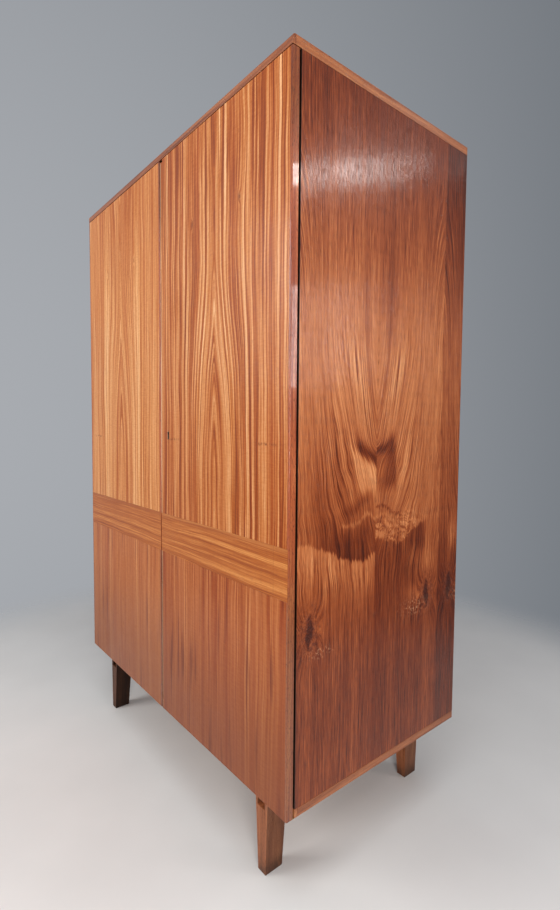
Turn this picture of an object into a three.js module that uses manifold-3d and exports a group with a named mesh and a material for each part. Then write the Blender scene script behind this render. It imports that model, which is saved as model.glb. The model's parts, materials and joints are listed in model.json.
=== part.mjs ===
// A two-door wardrobe on four tapered legs, veneered boards, knife hinges, one door lock.
// Millimetres. +Z is up, the doors face -Y, +X is to the right of someone facing the doors.
// The origin is on the floor, under the middle of the case.
import * as THREE from "three";
import { mergeVertices } from "three/addons/utils/BufferGeometryUtils.js";
import Module from "manifold-3d";

const wasm = await Module();
wasm.setup();

// ---------------------------------------------------------------- driving sizes
const WIDTH = 1090;
const DEPTH = 600;
const CASE_HEIGHT = 1526;
const LEG_HEIGHT = 200;
const BOARD = 19; // case boards and partition
const GLUE_LINE = 0.3; // gap kept between pieces that touch

// lippings: solid strips on the edges of the veneered boards
const CASE_LIPPING = 8; // front edge of the top and bottom boards
const END_LIPPING = 5; // left and right ends of the top and bottom boards
const DOOR_LIPPING = 5;
const NOSING_DEPTH = 6.5; // rounded upper arris along the top board's front
const NOSING_HEIGHT = 6;

// back panel, held in a rebate all round
const BACK_THICKNESS = 6;
const REBATE = 10; // how far the back panel laps onto the boards

// doors
const DOOR_THICKNESS = 17;
const DOOR_STANDOFF = 5; // dark gap between the doors and the case
const DOOR_HEAD_GAP = 2;
const DOOR_FOOT_GAP = 1;
const DOOR_MEETING_GAP = 3.5;
const DOOR_OUTER_ARRIS = 2.5;
const DOOR_MEETING_ARRIS = 1;
const MEETING_NOTCH_WIDTH = 14; // clears the bolt's flange, top corner of the right door
const MEETING_NOTCH_HEIGHT = 7;

// cross band: horizontal-grain inlay across both doors
const BAND_ABOVE_DOOR_FOOT = 451;
const BAND_HEIGHT = 106;
const BAND_THICKNESS = 2;

// shelves, bearers, hanging rail
const SHELF_THICKNESS = 16;
const SHELF_SETBACK = 10; // behind the case's front edge
const LINEN_SHELVES = 3;
const HAT_SPACE = 290;
const BEARER_WIDTH = 15;
const BEARER_HEIGHT = 25;
const BEARER_SETBACK = 12; // behind the shelf's front edge
const BEARER_CHAMFER = 12;
const RAIL_RADIUS = 14;
const RAIL_SEAT_CLEARANCE = 0.4;
const RAIL_BLOCK_SIZE = 60;
const RAIL_BLOCK_THICKNESS = 16;
const RAIL_BLOCK_CORNER = 10;
const RAIL_BLOCK_DROP = 15; // below the hat shelf's bearers

// legs and the frame between them
const LEG_TOP = { x: 46, y: 58 };
const LEG_FOOT = { x: 26, y: 48 };
const LEG_SIDE_INSET = 95; // from the case's side to the leg's outer face, at its head
const LEG_OUTER_TAPER = 7; // the outer face leans in by this much at the foot
const LEG_FRONT_INSET = 6; // from the case's front edge to the leg's front face
const LEG_BACK_INSET = 20; // from the case's back to the leg's back face
const RAIL_WIDTH = 25;
const RAIL_HEIGHT = 50;
const LEG_OUTER_CHEEK = 12; // wood left outside the leg's open slot
const RAIL_END_SETBACK = 12; // side rail's end, behind the leg's face
const CROSS_RAIL_INSET = 25; // behind the side rail's end

// knife hinges
const PIN_INSET = 9; // from the door's outer edge
const PIN_RADIUS = 3;
const PIN_CLEARANCE = 0.1;
const PIN_DEPTH = 12; // into the door, beyond the leaf
const PIN_BORE_CLEARANCE = 0.5;
const HINGE_WIDTH = 11;
const HINGE_LENGTH = 62;
const HINGE_THICKNESS = 2.5;
const WASHER_RADIUS = 5;
const WASHER_PLAY = 0.4; // left between the washer and the door's leaf
const HINGE_SCREW_RADIUS = 2;
const HINGE_SCREW_PITCH = 18;

// lock on the back of the right door
const KEYHOLE_FROM_MIDDLE = 44;
const KEYHOLE_ABOVE_FLOOR = 973;
const KEYHOLE_HEIGHT = 19;
const KEYHOLE_HEAD_RADIUS = 3.5;
const KEYHOLE_TAIL_WIDTH = 5;
const LINER_WALL = 1.2;
const LINER_DEPTH = 6;
const LOCK_WIDTH = 56;
const LOCK_HEIGHT = 80;
const LOCK_DEPTH = 16;
const LOCK_WALL = 2;
const LOCK_TO_PARTITION = 4.5;
const LOCK_BELOW_KEYHOLE = 35;
const KEY_POST_RADIUS = 1.6;
const LOCK_BOLT_LENGTH = 34;
const LOCK_BOLT_HEIGHT = 18;
const LOCK_BOLT_THICKNESS = 6;
const LOCK_BOLT_ABOVE_KEYHOLE = 16;
const LOCK_BOLT_THROW = 10;
const STRIKE_HEIGHT = 50;
const STRIKE_DEPTH = 16;
const STRIKE_THICKNESS = 1.5;
const STRIKE_FLANGE = 14;
const STRIKE_PLAY = 0.8; // round the thrown bolt in its mortise

// edge bolt in the left door's meeting edge
const EDGE_BOLT_LENGTH = 140;
const EDGE_BOLT_WIDTH = 11;
const EDGE_BOLT_PLATE = 2;
const EDGE_BOLT_FLANGE = 16;
const ROD_RADIUS = 3;
const ROD_INSET = 8; // from the meeting edge to the rod's middle
const ROD_LENGTH = 110;
const ROD_TRAVEL = 12;
const ROD_CLEARANCE = 0.6;
const THUMB_WIDTH = 4.8;
const THUMB_HEIGHT = 10;
const THUMB_BELOW_TOP = 80;
const KEEPER_LENGTH = 28;
const KEEPER_THICKNESS = 1.8;

const FIT = GLUE_LINE; // clearance round anything let into a recess
const ROUND_SIDES = 24; // facets of pins, rods and their bores
const ARC_SIDES = 6; // facets of a rounded arris
const THROUGH = 1; // how far a cutter runs past a face

// ---------------------------------------------------------------- places worked out from them
const half = WIDTH / 2;
const doorFront = -DEPTH / 2;
const doorBack = doorFront + DOOR_THICKNESS;
const doorMiddle = (doorFront + doorBack) / 2;
const caseFront = doorBack + DOOR_STANDOFF;
const caseBack = DEPTH / 2;
const backPanelFront = caseBack - BACK_THICKNESS;
const insideBack = backPanelFront - GLUE_LINE;
const caseUnder = LEG_HEIGHT;
const bottomTop = caseUnder + BOARD;
const caseTop = LEG_HEIGHT + CASE_HEIGHT;
const topUnder = caseTop - BOARD;
const sideInner = half - BOARD;
const partitionFace = BOARD / 2;
const doorFoot = caseUnder + DOOR_FOOT_GAP;
const doorHead = topUnder - DOOR_HEAD_GAP;
const doorMeeting = DOOR_MEETING_GAP / 2;
const pinX = half - PIN_INSET;

// ---------------------------------------------------------------- shapes
function box([x0, x1], [y0, y1], [z0, z1]) {
  const size = [x1 - x0, y1 - y0, z1 - z0].map(Math.abs);
  return new THREE.BoxGeometry(...size).translate((x0 + x1) / 2, (y0 + y1) / 2, (z0 + z1) / 2);
}

function around(middle, width) {
  return [middle - width / 2, middle + width / 2];
}

function outline(points) {
  return new THREE.Shape(points.map(([u, v]) => new THREE.Vector2(u, v)));
}

function extrude(shape, depth) {
  return new THREE.ExtrudeGeometry(shape, { depth, bevelEnabled: false, curveSegments: ARC_SIDES });
}

// The shape's own two directions become Y and Z, X and Z, or X and Y.
function extrudeAlongX(shape, [x0, x1]) {
  const turn = new THREE.Matrix4().makeBasis(
    new THREE.Vector3(0, 1, 0), new THREE.Vector3(0, 0, 1), new THREE.Vector3(1, 0, 0));
  return extrude(shape, x1 - x0).applyMatrix4(turn).translate(x0, 0, 0);
}

function extrudeAlongY(shape, [y0, y1]) {
  const turn = new THREE.Matrix4().makeBasis(
    new THREE.Vector3(1, 0, 0), new THREE.Vector3(0, 0, 1), new THREE.Vector3(0, -1, 0));
  return extrude(shape, y1 - y0).applyMatrix4(turn).translate(0, y1, 0);
}

function extrudeAlongZ(shape, [z0, z1]) {
  return extrude(shape, z1 - z0).translate(0, 0, z0);
}

function uprightCylinder(radius, x, y, [z0, z1]) {
  return new THREE.CylinderGeometry(radius, radius, z1 - z0, ROUND_SIDES)
    .rotateX(Math.PI / 2).translate(x, y, (z0 + z1) / 2);
}

function solidOf(geometry) {
  const bare = geometry.clone();
  bare.deleteAttribute("normal");
  bare.deleteAttribute("uv");
  const merged = mergeVertices(bare, 1e-4);
  return new wasm.Manifold(new wasm.Mesh({
    numProp: 3,
    vertProperties: new Float32Array(merged.attributes.position.array),
    triVerts: new Uint32Array(merged.index.array),
  }));
}

function geometryOf(solid) {
  const { vertProperties, triVerts } = solid.getMesh();
  const geometry = new THREE.BufferGeometry();
  geometry.setAttribute("position", new THREE.BufferAttribute(vertProperties, 3));
  geometry.setIndex(new THREE.BufferAttribute(triVerts, 1));
  geometry.computeVertexNormals();
  return geometry;
}

function cut(piece, ...cutters) {
  return geometryOf(cutters.reduce((left, cutter) => left.subtract(solidOf(cutter)), solidOf(piece)));
}

function join(...pieces) {
  return geometryOf(pieces.slice(1).reduce((whole, more) => whole.add(solidOf(more)), solidOf(pieces[0])));
}

function common(first, second) {
  return geometryOf(solidOf(first).intersect(solidOf(second)));
}

// A left-hand piece is its right-hand twin mirrored in the plane x = 0.
function mirrored(geometry) {
  const twin = (geometry.index ? geometry.toNonIndexed() : geometry.clone()).scale(-1, 1, 1);
  const p = twin.attributes.position;
  for (let corner = 0; corner < p.count; corner += 3) {
    const kept = [p.getX(corner + 1), p.getY(corner + 1), p.getZ(corner + 1)];
    p.setXYZ(corner + 1, p.getX(corner + 2), p.getY(corner + 2), p.getZ(corner + 2));
    p.setXYZ(corner + 2, ...kept);
  }
  twin.computeVertexNormals();
  return twin;
}

const handed = (side, geometry) => (side === "left" ? mirrored(geometry) : geometry);

// ---------------------------------------------------------------- finishes
const FINISHES = {
  sideVeneer: { color: "#7b4128", roughness: 0.3, metalness: 0 },
  doorVeneer: { color: "#c98b5e", roughness: 0.3, metalness: 0 },
  bandVeneer: { color: "#b87848", roughness: 0.3, metalness: 0 },
  lipping: { color: "#a9674a", roughness: 0.4, metalness: 0 },
  interior: { color: "#b98f66", roughness: 0.6, metalness: 0 },
  leg: { color: "#8c5b3e", roughness: 0.45, metalness: 0 },
  brass: { color: "#b08d4c", roughness: 0.35, metalness: 1 },
  steel: { color: "#85827c", roughness: 0.4, metalness: 1 },
};

const wardrobe = new THREE.Group();

function place(name, geometry, finish) {
  const mesh = new THREE.Mesh(geometry, new THREE.MeshStandardMaterial(FINISHES[finish]));
  mesh.name = name;
  wardrobe.add(mesh);
}

// ---------------------------------------------------------------- knife hinges
// A strip with one round end, centred on the pin and running towards the door's meeting edge.
function hingeStrip(grow) {
  const r = HINGE_WIDTH / 2 + grow;
  const strip = new THREE.Shape();
  strip.moveTo(pinX - HINGE_LENGTH - grow, doorMiddle - r);
  strip.lineTo(pinX, doorMiddle - r);
  strip.absarc(pinX, doorMiddle, r, -Math.PI / 2, Math.PI / 2, false);
  strip.lineTo(pinX - HINGE_LENGTH - grow, doorMiddle + r);
  return strip;
}

// The bottom plate turns the other way: from the pin back under the bottom board.
function crankStrip() {
  const r = HINGE_WIDTH / 2;
  const strip = new THREE.Shape();
  strip.moveTo(pinX + r, doorMiddle + HINGE_LENGTH);
  strip.lineTo(pinX + r, doorMiddle);
  strip.absarc(pinX, doorMiddle, r, 0, -Math.PI, true);
  strip.lineTo(pinX - r, doorMiddle + HINGE_LENGTH);
  return strip;
}

const pinBore = PIN_RADIUS + PIN_BORE_CLEARANCE;
const leafScrews = [1, 2, 3].map((step) => [pinX - step * HINGE_SCREW_PITCH, doorMiddle]);
const crankScrews = [2, 3].map((step) => [pinX, doorMiddle + step * HINGE_SCREW_PITCH]);

function screwHoles(places, [z0, z1]) {
  return places.map(([x, y]) => uprightCylinder(HINGE_SCREW_RADIUS, x, y, [z0 - THROUGH, z1 + THROUGH]));
}

const topPlateSpan = [topUnder, topUnder + HINGE_THICKNESS];
const topLeafSpan = [doorHead - HINGE_THICKNESS, doorHead];
const footLeafSpan = [doorFoot, doorFoot + HINGE_THICKNESS];
const footPlateSpan = [caseUnder - GLUE_LINE - HINGE_THICKNESS, caseUnder - GLUE_LINE];

const topPin = [doorHead - HINGE_THICKNESS - PIN_DEPTH, topPlateSpan[1]];
const footPin = [footPlateSpan[0], doorFoot + HINGE_THICKNESS + PIN_DEPTH];

function topHingePlate() {
  const plate = extrudeAlongZ(hingeStrip(0), topPlateSpan);
  const washer = uprightCylinder(WASHER_RADIUS, pinX, doorMiddle, [doorHead + WASHER_PLAY, topPlateSpan[1]]);
  const pin = uprightCylinder(PIN_RADIUS, pinX, doorMiddle, topPin);
  return cut(join(plate, washer, pin), ...screwHoles(leafScrews, topPlateSpan));
}

function footHingePlate() {
  const plate = extrudeAlongZ(crankStrip(), footPlateSpan);
  const washer = uprightCylinder(WASHER_RADIUS, pinX, doorMiddle, [footPlateSpan[0], doorFoot - WASHER_PLAY]);
  const pin = uprightCylinder(PIN_RADIUS, pinX, doorMiddle, footPin);
  return cut(join(plate, washer, pin), ...screwHoles(crankScrews, footPlateSpan));
}

function hingeLeaf(span) {
  const eye = uprightCylinder(PIN_RADIUS + PIN_CLEARANCE, pinX, doorMiddle, [span[0] - THROUGH, span[1] + THROUGH]);
  return cut(extrudeAlongZ(hingeStrip(0), span), eye, ...screwHoles(leafScrews, span));
}

// What the hinges take out of a door: two leaf recesses and two pin bores.
function doorHingeCutters() {
  return [
    extrudeAlongZ(hingeStrip(FIT), [topLeafSpan[0] - FIT, doorHead + THROUGH]),
    extrudeAlongZ(hingeStrip(FIT), [doorFoot - THROUGH, footLeafSpan[1] + FIT]),
    uprightCylinder(pinBore, pinX, doorMiddle, [topPin[0] - FIT, doorHead]),
    uprightCylinder(pinBore, pinX, doorMiddle, [doorFoot, footPin[1] + FIT]),
  ];
}

function topBoardHingeCutter() {
  return extrudeAlongZ(hingeStrip(FIT), [topUnder - THROUGH, topPlateSpan[1] + FIT]);
}

for (const side of ["left", "right"]) {
  place(`${side}_top_hinge_plate`, handed(side, topHingePlate()), "brass");
  place(`${side}_top_hinge_leaf`, handed(side, hingeLeaf(topLeafSpan)), "brass");
  place(`${side}_foot_hinge_plate`, handed(side, footHingePlate()), "brass");
  place(`${side}_foot_hinge_leaf`, handed(side, hingeLeaf(footLeafSpan)), "brass");
}

// ---------------------------------------------------------------- edge bolt, left door
const meetingEdge = -doorMeeting;
const rodX = meetingEdge - ROD_INSET;
const boltFoot = doorHead - EDGE_BOLT_LENGTH;
const rodTop = doorHead - ROD_CLEARANCE;
const rodFoot = rodTop - ROD_LENGTH;
const thumbSpan = [doorHead - THUMB_BELOW_TOP - THUMB_HEIGHT, doorHead - THUMB_BELOW_TOP];
const rodSlot = 2 * (ROD_RADIUS + ROD_CLEARANCE);

function edgeBoltPlate() {
  const face = box([meetingEdge - EDGE_BOLT_PLATE, meetingEdge], around(doorMiddle, EDGE_BOLT_WIDTH),
    [boltFoot, doorHead]);
  const flange = box([meetingEdge - EDGE_BOLT_FLANGE, meetingEdge], around(doorMiddle, EDGE_BOLT_WIDTH),
    [doorHead - EDGE_BOLT_PLATE, doorHead]);
  const thumbSlot = box([meetingEdge - EDGE_BOLT_PLATE - THROUGH, meetingEdge + THROUGH],
    around(doorMiddle, THUMB_WIDTH + 2 * ROD_CLEARANCE),
    [thumbSpan[0] - ROD_CLEARANCE, thumbSpan[1] + ROD_TRAVEL + ROD_CLEARANCE]);
  const rodHole = box(around(rodX, rodSlot), around(doorMiddle, rodSlot),
    [doorHead - EDGE_BOLT_PLATE - THROUGH, doorHead + THROUGH]);
  return cut(join(face, flange), thumbSlot, rodHole);
}

function edgeBoltRod() {
  const rod = uprightCylinder(ROD_RADIUS, rodX, doorMiddle, [rodFoot, rodTop]);
  const thumb = box([rodX, meetingEdge - GLUE_LINE], around(doorMiddle, THUMB_WIDTH), thumbSpan);
  return join(rod, thumb);
}

function doorEdgeBoltCutters() {
  const width = around(doorMiddle, EDGE_BOLT_WIDTH + 2 * FIT);
  return [
    box([meetingEdge - EDGE_BOLT_PLATE - FIT, meetingEdge + THROUGH], width,
      [boltFoot - FIT, doorHead + THROUGH]),
    box([meetingEdge - EDGE_BOLT_FLANGE - FIT, meetingEdge + THROUGH], width,
      [doorHead - EDGE_BOLT_PLATE - FIT, doorHead + THROUGH]),
    box([rodX - rodSlot / 2, meetingEdge + THROUGH], around(doorMiddle, rodSlot),
      [rodFoot - ROD_CLEARANCE, doorHead + THROUGH]),
  ];
}

function edgeBoltKeeper() {
  const plate = box(around(rodX, KEEPER_LENGTH), around(doorMiddle, EDGE_BOLT_WIDTH),
    [topUnder, topUnder + KEEPER_THICKNESS]);
  const hole = box(around(rodX, rodSlot), around(doorMiddle, rodSlot),
    [topUnder - THROUGH, topUnder + KEEPER_THICKNESS + THROUGH]);
  return cut(plate, hole);
}

function topBoardKeeperCutters() {
  return [
    box(around(rodX, KEEPER_LENGTH + 2 * FIT), around(doorMiddle, EDGE_BOLT_WIDTH + 2 * FIT),
      [topUnder - THROUGH, topUnder + KEEPER_THICKNESS + FIT]),
    box(around(rodX, rodSlot), around(doorMiddle, rodSlot),
      [topUnder - THROUGH, rodTop + ROD_TRAVEL + 2 * ROD_CLEARANCE]),
  ];
}

place("edge_bolt_plate", edgeBoltPlate(), "brass");
place("edge_bolt_rod", edgeBoltRod(), "brass");
place("edge_bolt_keeper", edgeBoltKeeper(), "brass");

// ---------------------------------------------------------------- lock, right door
const lockLeft = partitionFace + LOCK_TO_PARTITION;
const lockRight = lockLeft + LOCK_WIDTH;
const lockFront = doorBack + GLUE_LINE;
const lockBack = lockFront + LOCK_DEPTH;
const lockFoot = KEYHOLE_ABOVE_FLOOR - LOCK_BELOW_KEYHOLE;
const lockHead = lockFoot + LOCK_HEIGHT;
const boltBack = lockBack - LOCK_WALL - GLUE_LINE;
const boltSpanY = [boltBack - LOCK_BOLT_THICKNESS, boltBack];
const boltSpanZ = around(KEYHOLE_ABOVE_FLOOR + LOCK_BOLT_ABOVE_KEYHOLE, LOCK_BOLT_HEIGHT);
const boltTip = lockLeft + GLUE_LINE;

const widened = ([low, high], grow) => [low - grow, high + grow];

// The lock case is a pan, open towards the door, with a window for the bolt.
function lockCase() {
  const pan = box([lockLeft, lockRight], [lockFront, lockBack], [lockFoot, lockHead]);
  const hollow = box([lockLeft + LOCK_WALL, lockRight - LOCK_WALL],
    [lockFront - THROUGH, lockBack - LOCK_WALL], [lockFoot + LOCK_WALL, lockHead - LOCK_WALL]);
  const window = box([lockLeft - THROUGH, lockLeft + LOCK_WALL + THROUGH],
    [boltSpanY[0] - GLUE_LINE, boltBack + GLUE_LINE], widened(boltSpanZ, GLUE_LINE));
  const post = new THREE.CylinderGeometry(KEY_POST_RADIUS, KEY_POST_RADIUS, lockBack - lockFront, ROUND_SIDES)
    .translate(KEYHOLE_FROM_MIDDLE, (lockFront + lockBack) / 2, KEYHOLE_ABOVE_FLOOR);
  return join(cut(pan, hollow, window), post);
}

// A keyhole: a round head over a straight tail; grow widens it all round.
function keyhole(grow) {
  const tail = KEYHOLE_TAIL_WIDTH / 2 + grow;
  const head = KEYHOLE_HEAD_RADIUS + grow;
  const headZ = KEYHOLE_ABOVE_FLOOR + KEYHOLE_HEIGHT / 2 - KEYHOLE_HEAD_RADIUS;
  const footZ = KEYHOLE_ABOVE_FLOOR - KEYHOLE_HEIGHT / 2 - grow;
  const meet = Math.asin(tail / head);
  const shape = new THREE.Shape();
  shape.moveTo(KEYHOLE_FROM_MIDDLE - tail, footZ);
  shape.lineTo(KEYHOLE_FROM_MIDDLE + tail, footZ);
  shape.absarc(KEYHOLE_FROM_MIDDLE, headZ, head, -Math.PI / 2 + meet, Math.PI * 1.5 - meet, false);
  return shape;
}

function keyholeLiner() {
  const ring = keyhole(LINER_WALL);
  ring.holes.push(keyhole(0));
  return extrudeAlongY(ring, [doorFront, doorFront + LINER_DEPTH]);
}

function doorKeyholeCutter() {
  return extrudeAlongY(keyhole(LINER_WALL + FIT), [doorFront - THROUGH, doorBack + THROUGH]);
}

// The strike plate is an angle round the partition's front corner.
const strikeSpanZ = around(KEYHOLE_ABOVE_FLOOR + LOCK_BOLT_ABOVE_KEYHOLE, STRIKE_HEIGHT);
const strikeFront = caseFront - GLUE_LINE - STRIKE_THICKNESS;
const mortiseDepth = LOCK_BOLT_THROW - LOCK_TO_PARTITION + STRIKE_PLAY;

function boltMortise(depth) {
  return box([partitionFace - depth, partitionFace + THROUGH], widened(boltSpanY, STRIKE_PLAY),
    widened(boltSpanZ, STRIKE_PLAY));
}

function lockStrike() {
  const inner = partitionFace - STRIKE_THICKNESS;
  const angle = outline([
    [partitionFace, caseFront + STRIKE_DEPTH], [inner, caseFront + STRIKE_DEPTH],
    [inner, caseFront - GLUE_LINE], [partitionFace - STRIKE_FLANGE, caseFront - GLUE_LINE],
    [partitionFace - STRIKE_FLANGE, strikeFront], [partitionFace, strikeFront],
  ]);
  return cut(extrudeAlongZ(angle, strikeSpanZ), boltMortise(STRIKE_THICKNESS + THROUGH));
}

function partitionLockCutters() {
  const recess = box([partitionFace - STRIKE_THICKNESS - FIT, partitionFace + THROUGH],
    [caseFront - THROUGH, caseFront + STRIKE_DEPTH + FIT], widened(strikeSpanZ, FIT));
  return [recess, boltMortise(mortiseDepth)];
}

place("lock_case", lockCase(), "steel");
place("lock_bolt", box([boltTip, boltTip + LOCK_BOLT_LENGTH], boltSpanY, boltSpanZ), "brass");
place("lock_strike", lockStrike(), "brass");
place("keyhole_liner", keyholeLiner(), "steel");

// ---------------------------------------------------------------- case boards
const coreHalf = half - END_LIPPING - GLUE_LINE;
const rebateHalf = sideInner + REBATE;

function topBoard() {
  const core = box([-coreHalf, coreHalf], [doorFront + CASE_LIPPING + GLUE_LINE, caseBack], [topUnder, caseTop]);
  const rebate = box([-rebateHalf, rebateHalf], [insideBack, caseBack + THROUGH],
    [topUnder - THROUGH, topUnder + REBATE]);
  const hinge = topBoardHingeCutter();
  return cut(core, rebate, hinge, mirrored(hinge), ...topBoardKeeperCutters());
}

function topFrontLipping() {
  const back = doorFront + CASE_LIPPING;
  const profile = new THREE.Shape();
  profile.moveTo(doorFront, topUnder);
  profile.lineTo(back, topUnder);
  profile.lineTo(back, caseTop);
  profile.absellipse(doorFront + NOSING_DEPTH, caseTop - NOSING_HEIGHT, NOSING_DEPTH, NOSING_HEIGHT,
    Math.PI / 2, Math.PI, false);
  const hinge = topBoardHingeCutter();
  return cut(extrudeAlongX(profile, [-half, half]), hinge, mirrored(hinge), ...topBoardKeeperCutters());
}

function bottomBoard() {
  const core = box([-coreHalf, coreHalf], [caseFront + CASE_LIPPING + GLUE_LINE, caseBack], [caseUnder, bottomTop]);
  const rebate = box([-rebateHalf, rebateHalf], [insideBack, caseBack + THROUGH],
    [bottomTop - REBATE, bottomTop + THROUGH]);
  return cut(core, rebate);
}

function endLipping(front, [z0, z1]) {
  return box([half - END_LIPPING, half], [front + CASE_LIPPING + GLUE_LINE, caseBack], [z0, z1]);
}

function sidePanel() {
  const board = box([sideInner, half], [caseFront, caseBack], [bottomTop + GLUE_LINE, topUnder - GLUE_LINE]);
  const rebate = box([sideInner - THROUGH, rebateHalf], [insideBack, caseBack + THROUGH],
    [caseUnder, caseTop]);
  return cut(board, rebate);
}

function partition() {
  const board = box([-partitionFace, partitionFace], [caseFront, insideBack],
    [bottomTop + GLUE_LINE, topUnder - GLUE_LINE]);
  return cut(board, ...partitionLockCutters());
}

function backPanel() {
  const reach = rebateHalf - GLUE_LINE;
  return box([-reach, reach], [backPanelFront, caseBack],
    [bottomTop - REBATE + GLUE_LINE, topUnder + REBATE - GLUE_LINE]);
}

place("top_board", topBoard(), "sideVeneer");
place("top_front_lipping", topFrontLipping(), "lipping");
place("bottom_board", bottomBoard(), "interior");
place("bottom_front_lipping",
  box([-half, half], [caseFront, caseFront + CASE_LIPPING], [caseUnder, bottomTop]), "lipping");
for (const side of ["left", "right"]) {
  const topEnd = cut(endLipping(doorFront, [topUnder, caseTop]), topBoardHingeCutter());
  place(`${side}_top_end_lipping`, handed(side, topEnd), "lipping");
  place(`${side}_bottom_end_lipping`, handed(side, endLipping(caseFront, [caseUnder, bottomTop])), "lipping");
  place(`${side}_side_panel`, handed(side, sidePanel()), "sideVeneer");
}
place("centre_partition", partition(), "interior");
place("back_panel", backPanel(), "interior");

// ---------------------------------------------------------------- shelves, bearers, hanging rail
const shelfFront = caseFront + SHELF_SETBACK;
const shelfSpanX = [partitionFace + GLUE_LINE, sideInner - GLUE_LINE];

const shelf = (under) => box(shelfSpanX, [shelfFront, insideBack], [under, under + SHELF_THICKNESS]);

// A bearer is a batten under one end of a shelf, its lower front corner cut off.
function bearer(shelfUnder, [x0, x1]) {
  const head = shelfUnder - GLUE_LINE;
  const foot = head - BEARER_HEIGHT;
  const front = shelfFront + BEARER_SETBACK;
  const profile = outline([
    [front, head], [front, foot + BEARER_CHAMFER], [front + BEARER_CHAMFER, foot],
    [insideBack, foot], [insideBack, head],
  ]);
  return extrudeAlongX(profile, [x0, x1]);
}

const innerBearerX = [shelfSpanX[0], shelfSpanX[0] + BEARER_WIDTH];
const outerBearerX = [shelfSpanX[1] - BEARER_WIDTH, shelfSpanX[1]];

function placeShelf(name, side, under) {
  place(name, handed(side, shelf(under)), "interior");
  place(`${name}_inner_bearer`, handed(side, bearer(under, innerBearerX)), "interior");
  place(`${name}_outer_bearer`, handed(side, bearer(under, outerBearerX)), "interior");
}

const shelfPitch = (topUnder - bottomTop) / (LINEN_SHELVES + 1);
for (let k = 1; k <= LINEN_SHELVES; k++) {
  placeShelf(`linen_shelf_${k}`, "left", bottomTop + k * shelfPitch - SHELF_THICKNESS / 2);
}

const hatShelfUnder = topUnder - HAT_SPACE - SHELF_THICKNESS;
placeShelf("hat_shelf", "right", hatShelfUnder);

const railBlockHead = hatShelfUnder - GLUE_LINE - BEARER_HEIGHT - RAIL_BLOCK_DROP;
const railZ = railBlockHead - RAIL_BLOCK_SIZE / 2;
const railY = (caseFront + insideBack) / 2;

// A square wooden block with an open seat, so that the rail lifts out.
function railBlock([x0, x1]) {
  const [left, right] = around(railY, RAIL_BLOCK_SIZE);
  const foot = railBlockHead - RAIL_BLOCK_SIZE;
  const seat = RAIL_RADIUS + RAIL_SEAT_CLEARANCE;
  const profile = new THREE.Shape();
  profile.moveTo(left, railBlockHead);
  profile.lineTo(left, foot + RAIL_BLOCK_CORNER);
  profile.lineTo(left + RAIL_BLOCK_CORNER, foot);
  profile.lineTo(right - RAIL_BLOCK_CORNER, foot);
  profile.lineTo(right, foot + RAIL_BLOCK_CORNER);
  profile.lineTo(right, railBlockHead);
  profile.lineTo(railY + seat, railBlockHead);
  profile.absarc(railY, railZ, seat, 0, -Math.PI, true);
  profile.lineTo(railY - seat, railBlockHead);
  return extrudeAlongX(profile, [x0, x1]);
}

const railLength = shelfSpanX[1] - shelfSpanX[0] - 2 * GLUE_LINE;
place("hanging_rail", new THREE.CylinderGeometry(RAIL_RADIUS, RAIL_RADIUS, railLength, ROUND_SIDES)
  .rotateZ(Math.PI / 2).translate((shelfSpanX[0] + shelfSpanX[1]) / 2, railY, railZ), "interior");
place("inner_rail_block", railBlock([shelfSpanX[0], shelfSpanX[0] + RAIL_BLOCK_THICKNESS]), "interior");
place("outer_rail_block", railBlock([shelfSpanX[1] - RAIL_BLOCK_THICKNESS, shelfSpanX[1]]), "interior");

// ---------------------------------------------------------------- doors
const doorOuter = half;
const bandSpan = [doorFoot + BAND_ABOVE_DOOR_FOOT, doorFoot + BAND_ABOVE_DOOR_FOOT + BAND_HEIGHT];
const bandReach = [doorMeeting + DOOR_MEETING_ARRIS, doorOuter - DOOR_OUTER_ARRIS];

function crossBand() {
  return box(bandReach, [doorFront, doorFront + BAND_THICKNESS], bandSpan);
}

function bandGroove() {
  return box(widened(bandReach, FIT), [doorFront - THROUGH, doorFront + BAND_THICKNESS + FIT],
    widened(bandSpan, FIT));
}

function doorCore() {
  return box([doorMeeting + DOOR_LIPPING + GLUE_LINE, doorOuter - DOOR_LIPPING - GLUE_LINE],
    [doorFront, doorBack], [doorFoot, doorHead]);
}

// A vertical strip, from x = plain to x = worn, with its front corner at the worn edge rounded.
function doorLipping(plain, worn, arris) {
  const towards = Math.sign(worn - plain);
  const profile = new THREE.Shape();
  profile.moveTo(plain, doorBack);
  profile.lineTo(plain, doorFront);
  profile.lineTo(worn - towards * arris, doorFront);
  profile.absarc(worn - towards * arris, doorFront + arris, arris,
    -Math.PI / 2, towards > 0 ? 0 : -Math.PI, towards < 0);
  profile.lineTo(worn, doorBack);
  return extrudeAlongZ(profile, [doorFoot, doorHead]);
}

const hingeLipping = () => doorLipping(doorOuter - DOOR_LIPPING, doorOuter, DOOR_OUTER_ARRIS);
const meetingLipping = () => doorLipping(doorMeeting + DOOR_LIPPING, doorMeeting, DOOR_MEETING_ARRIS);

function meetingNotch() {
  return box([doorMeeting - THROUGH, doorMeeting + MEETING_NOTCH_WIDTH],
    [doorFront - THROUGH, doorBack + THROUGH], [doorHead - MEETING_NOTCH_HEIGHT, doorHead + THROUGH]);
}

const hingeAndBand = [...doorHingeCutters(), bandGroove()];
const rightOnly = [meetingNotch(), doorKeyholeCutter()];

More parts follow.
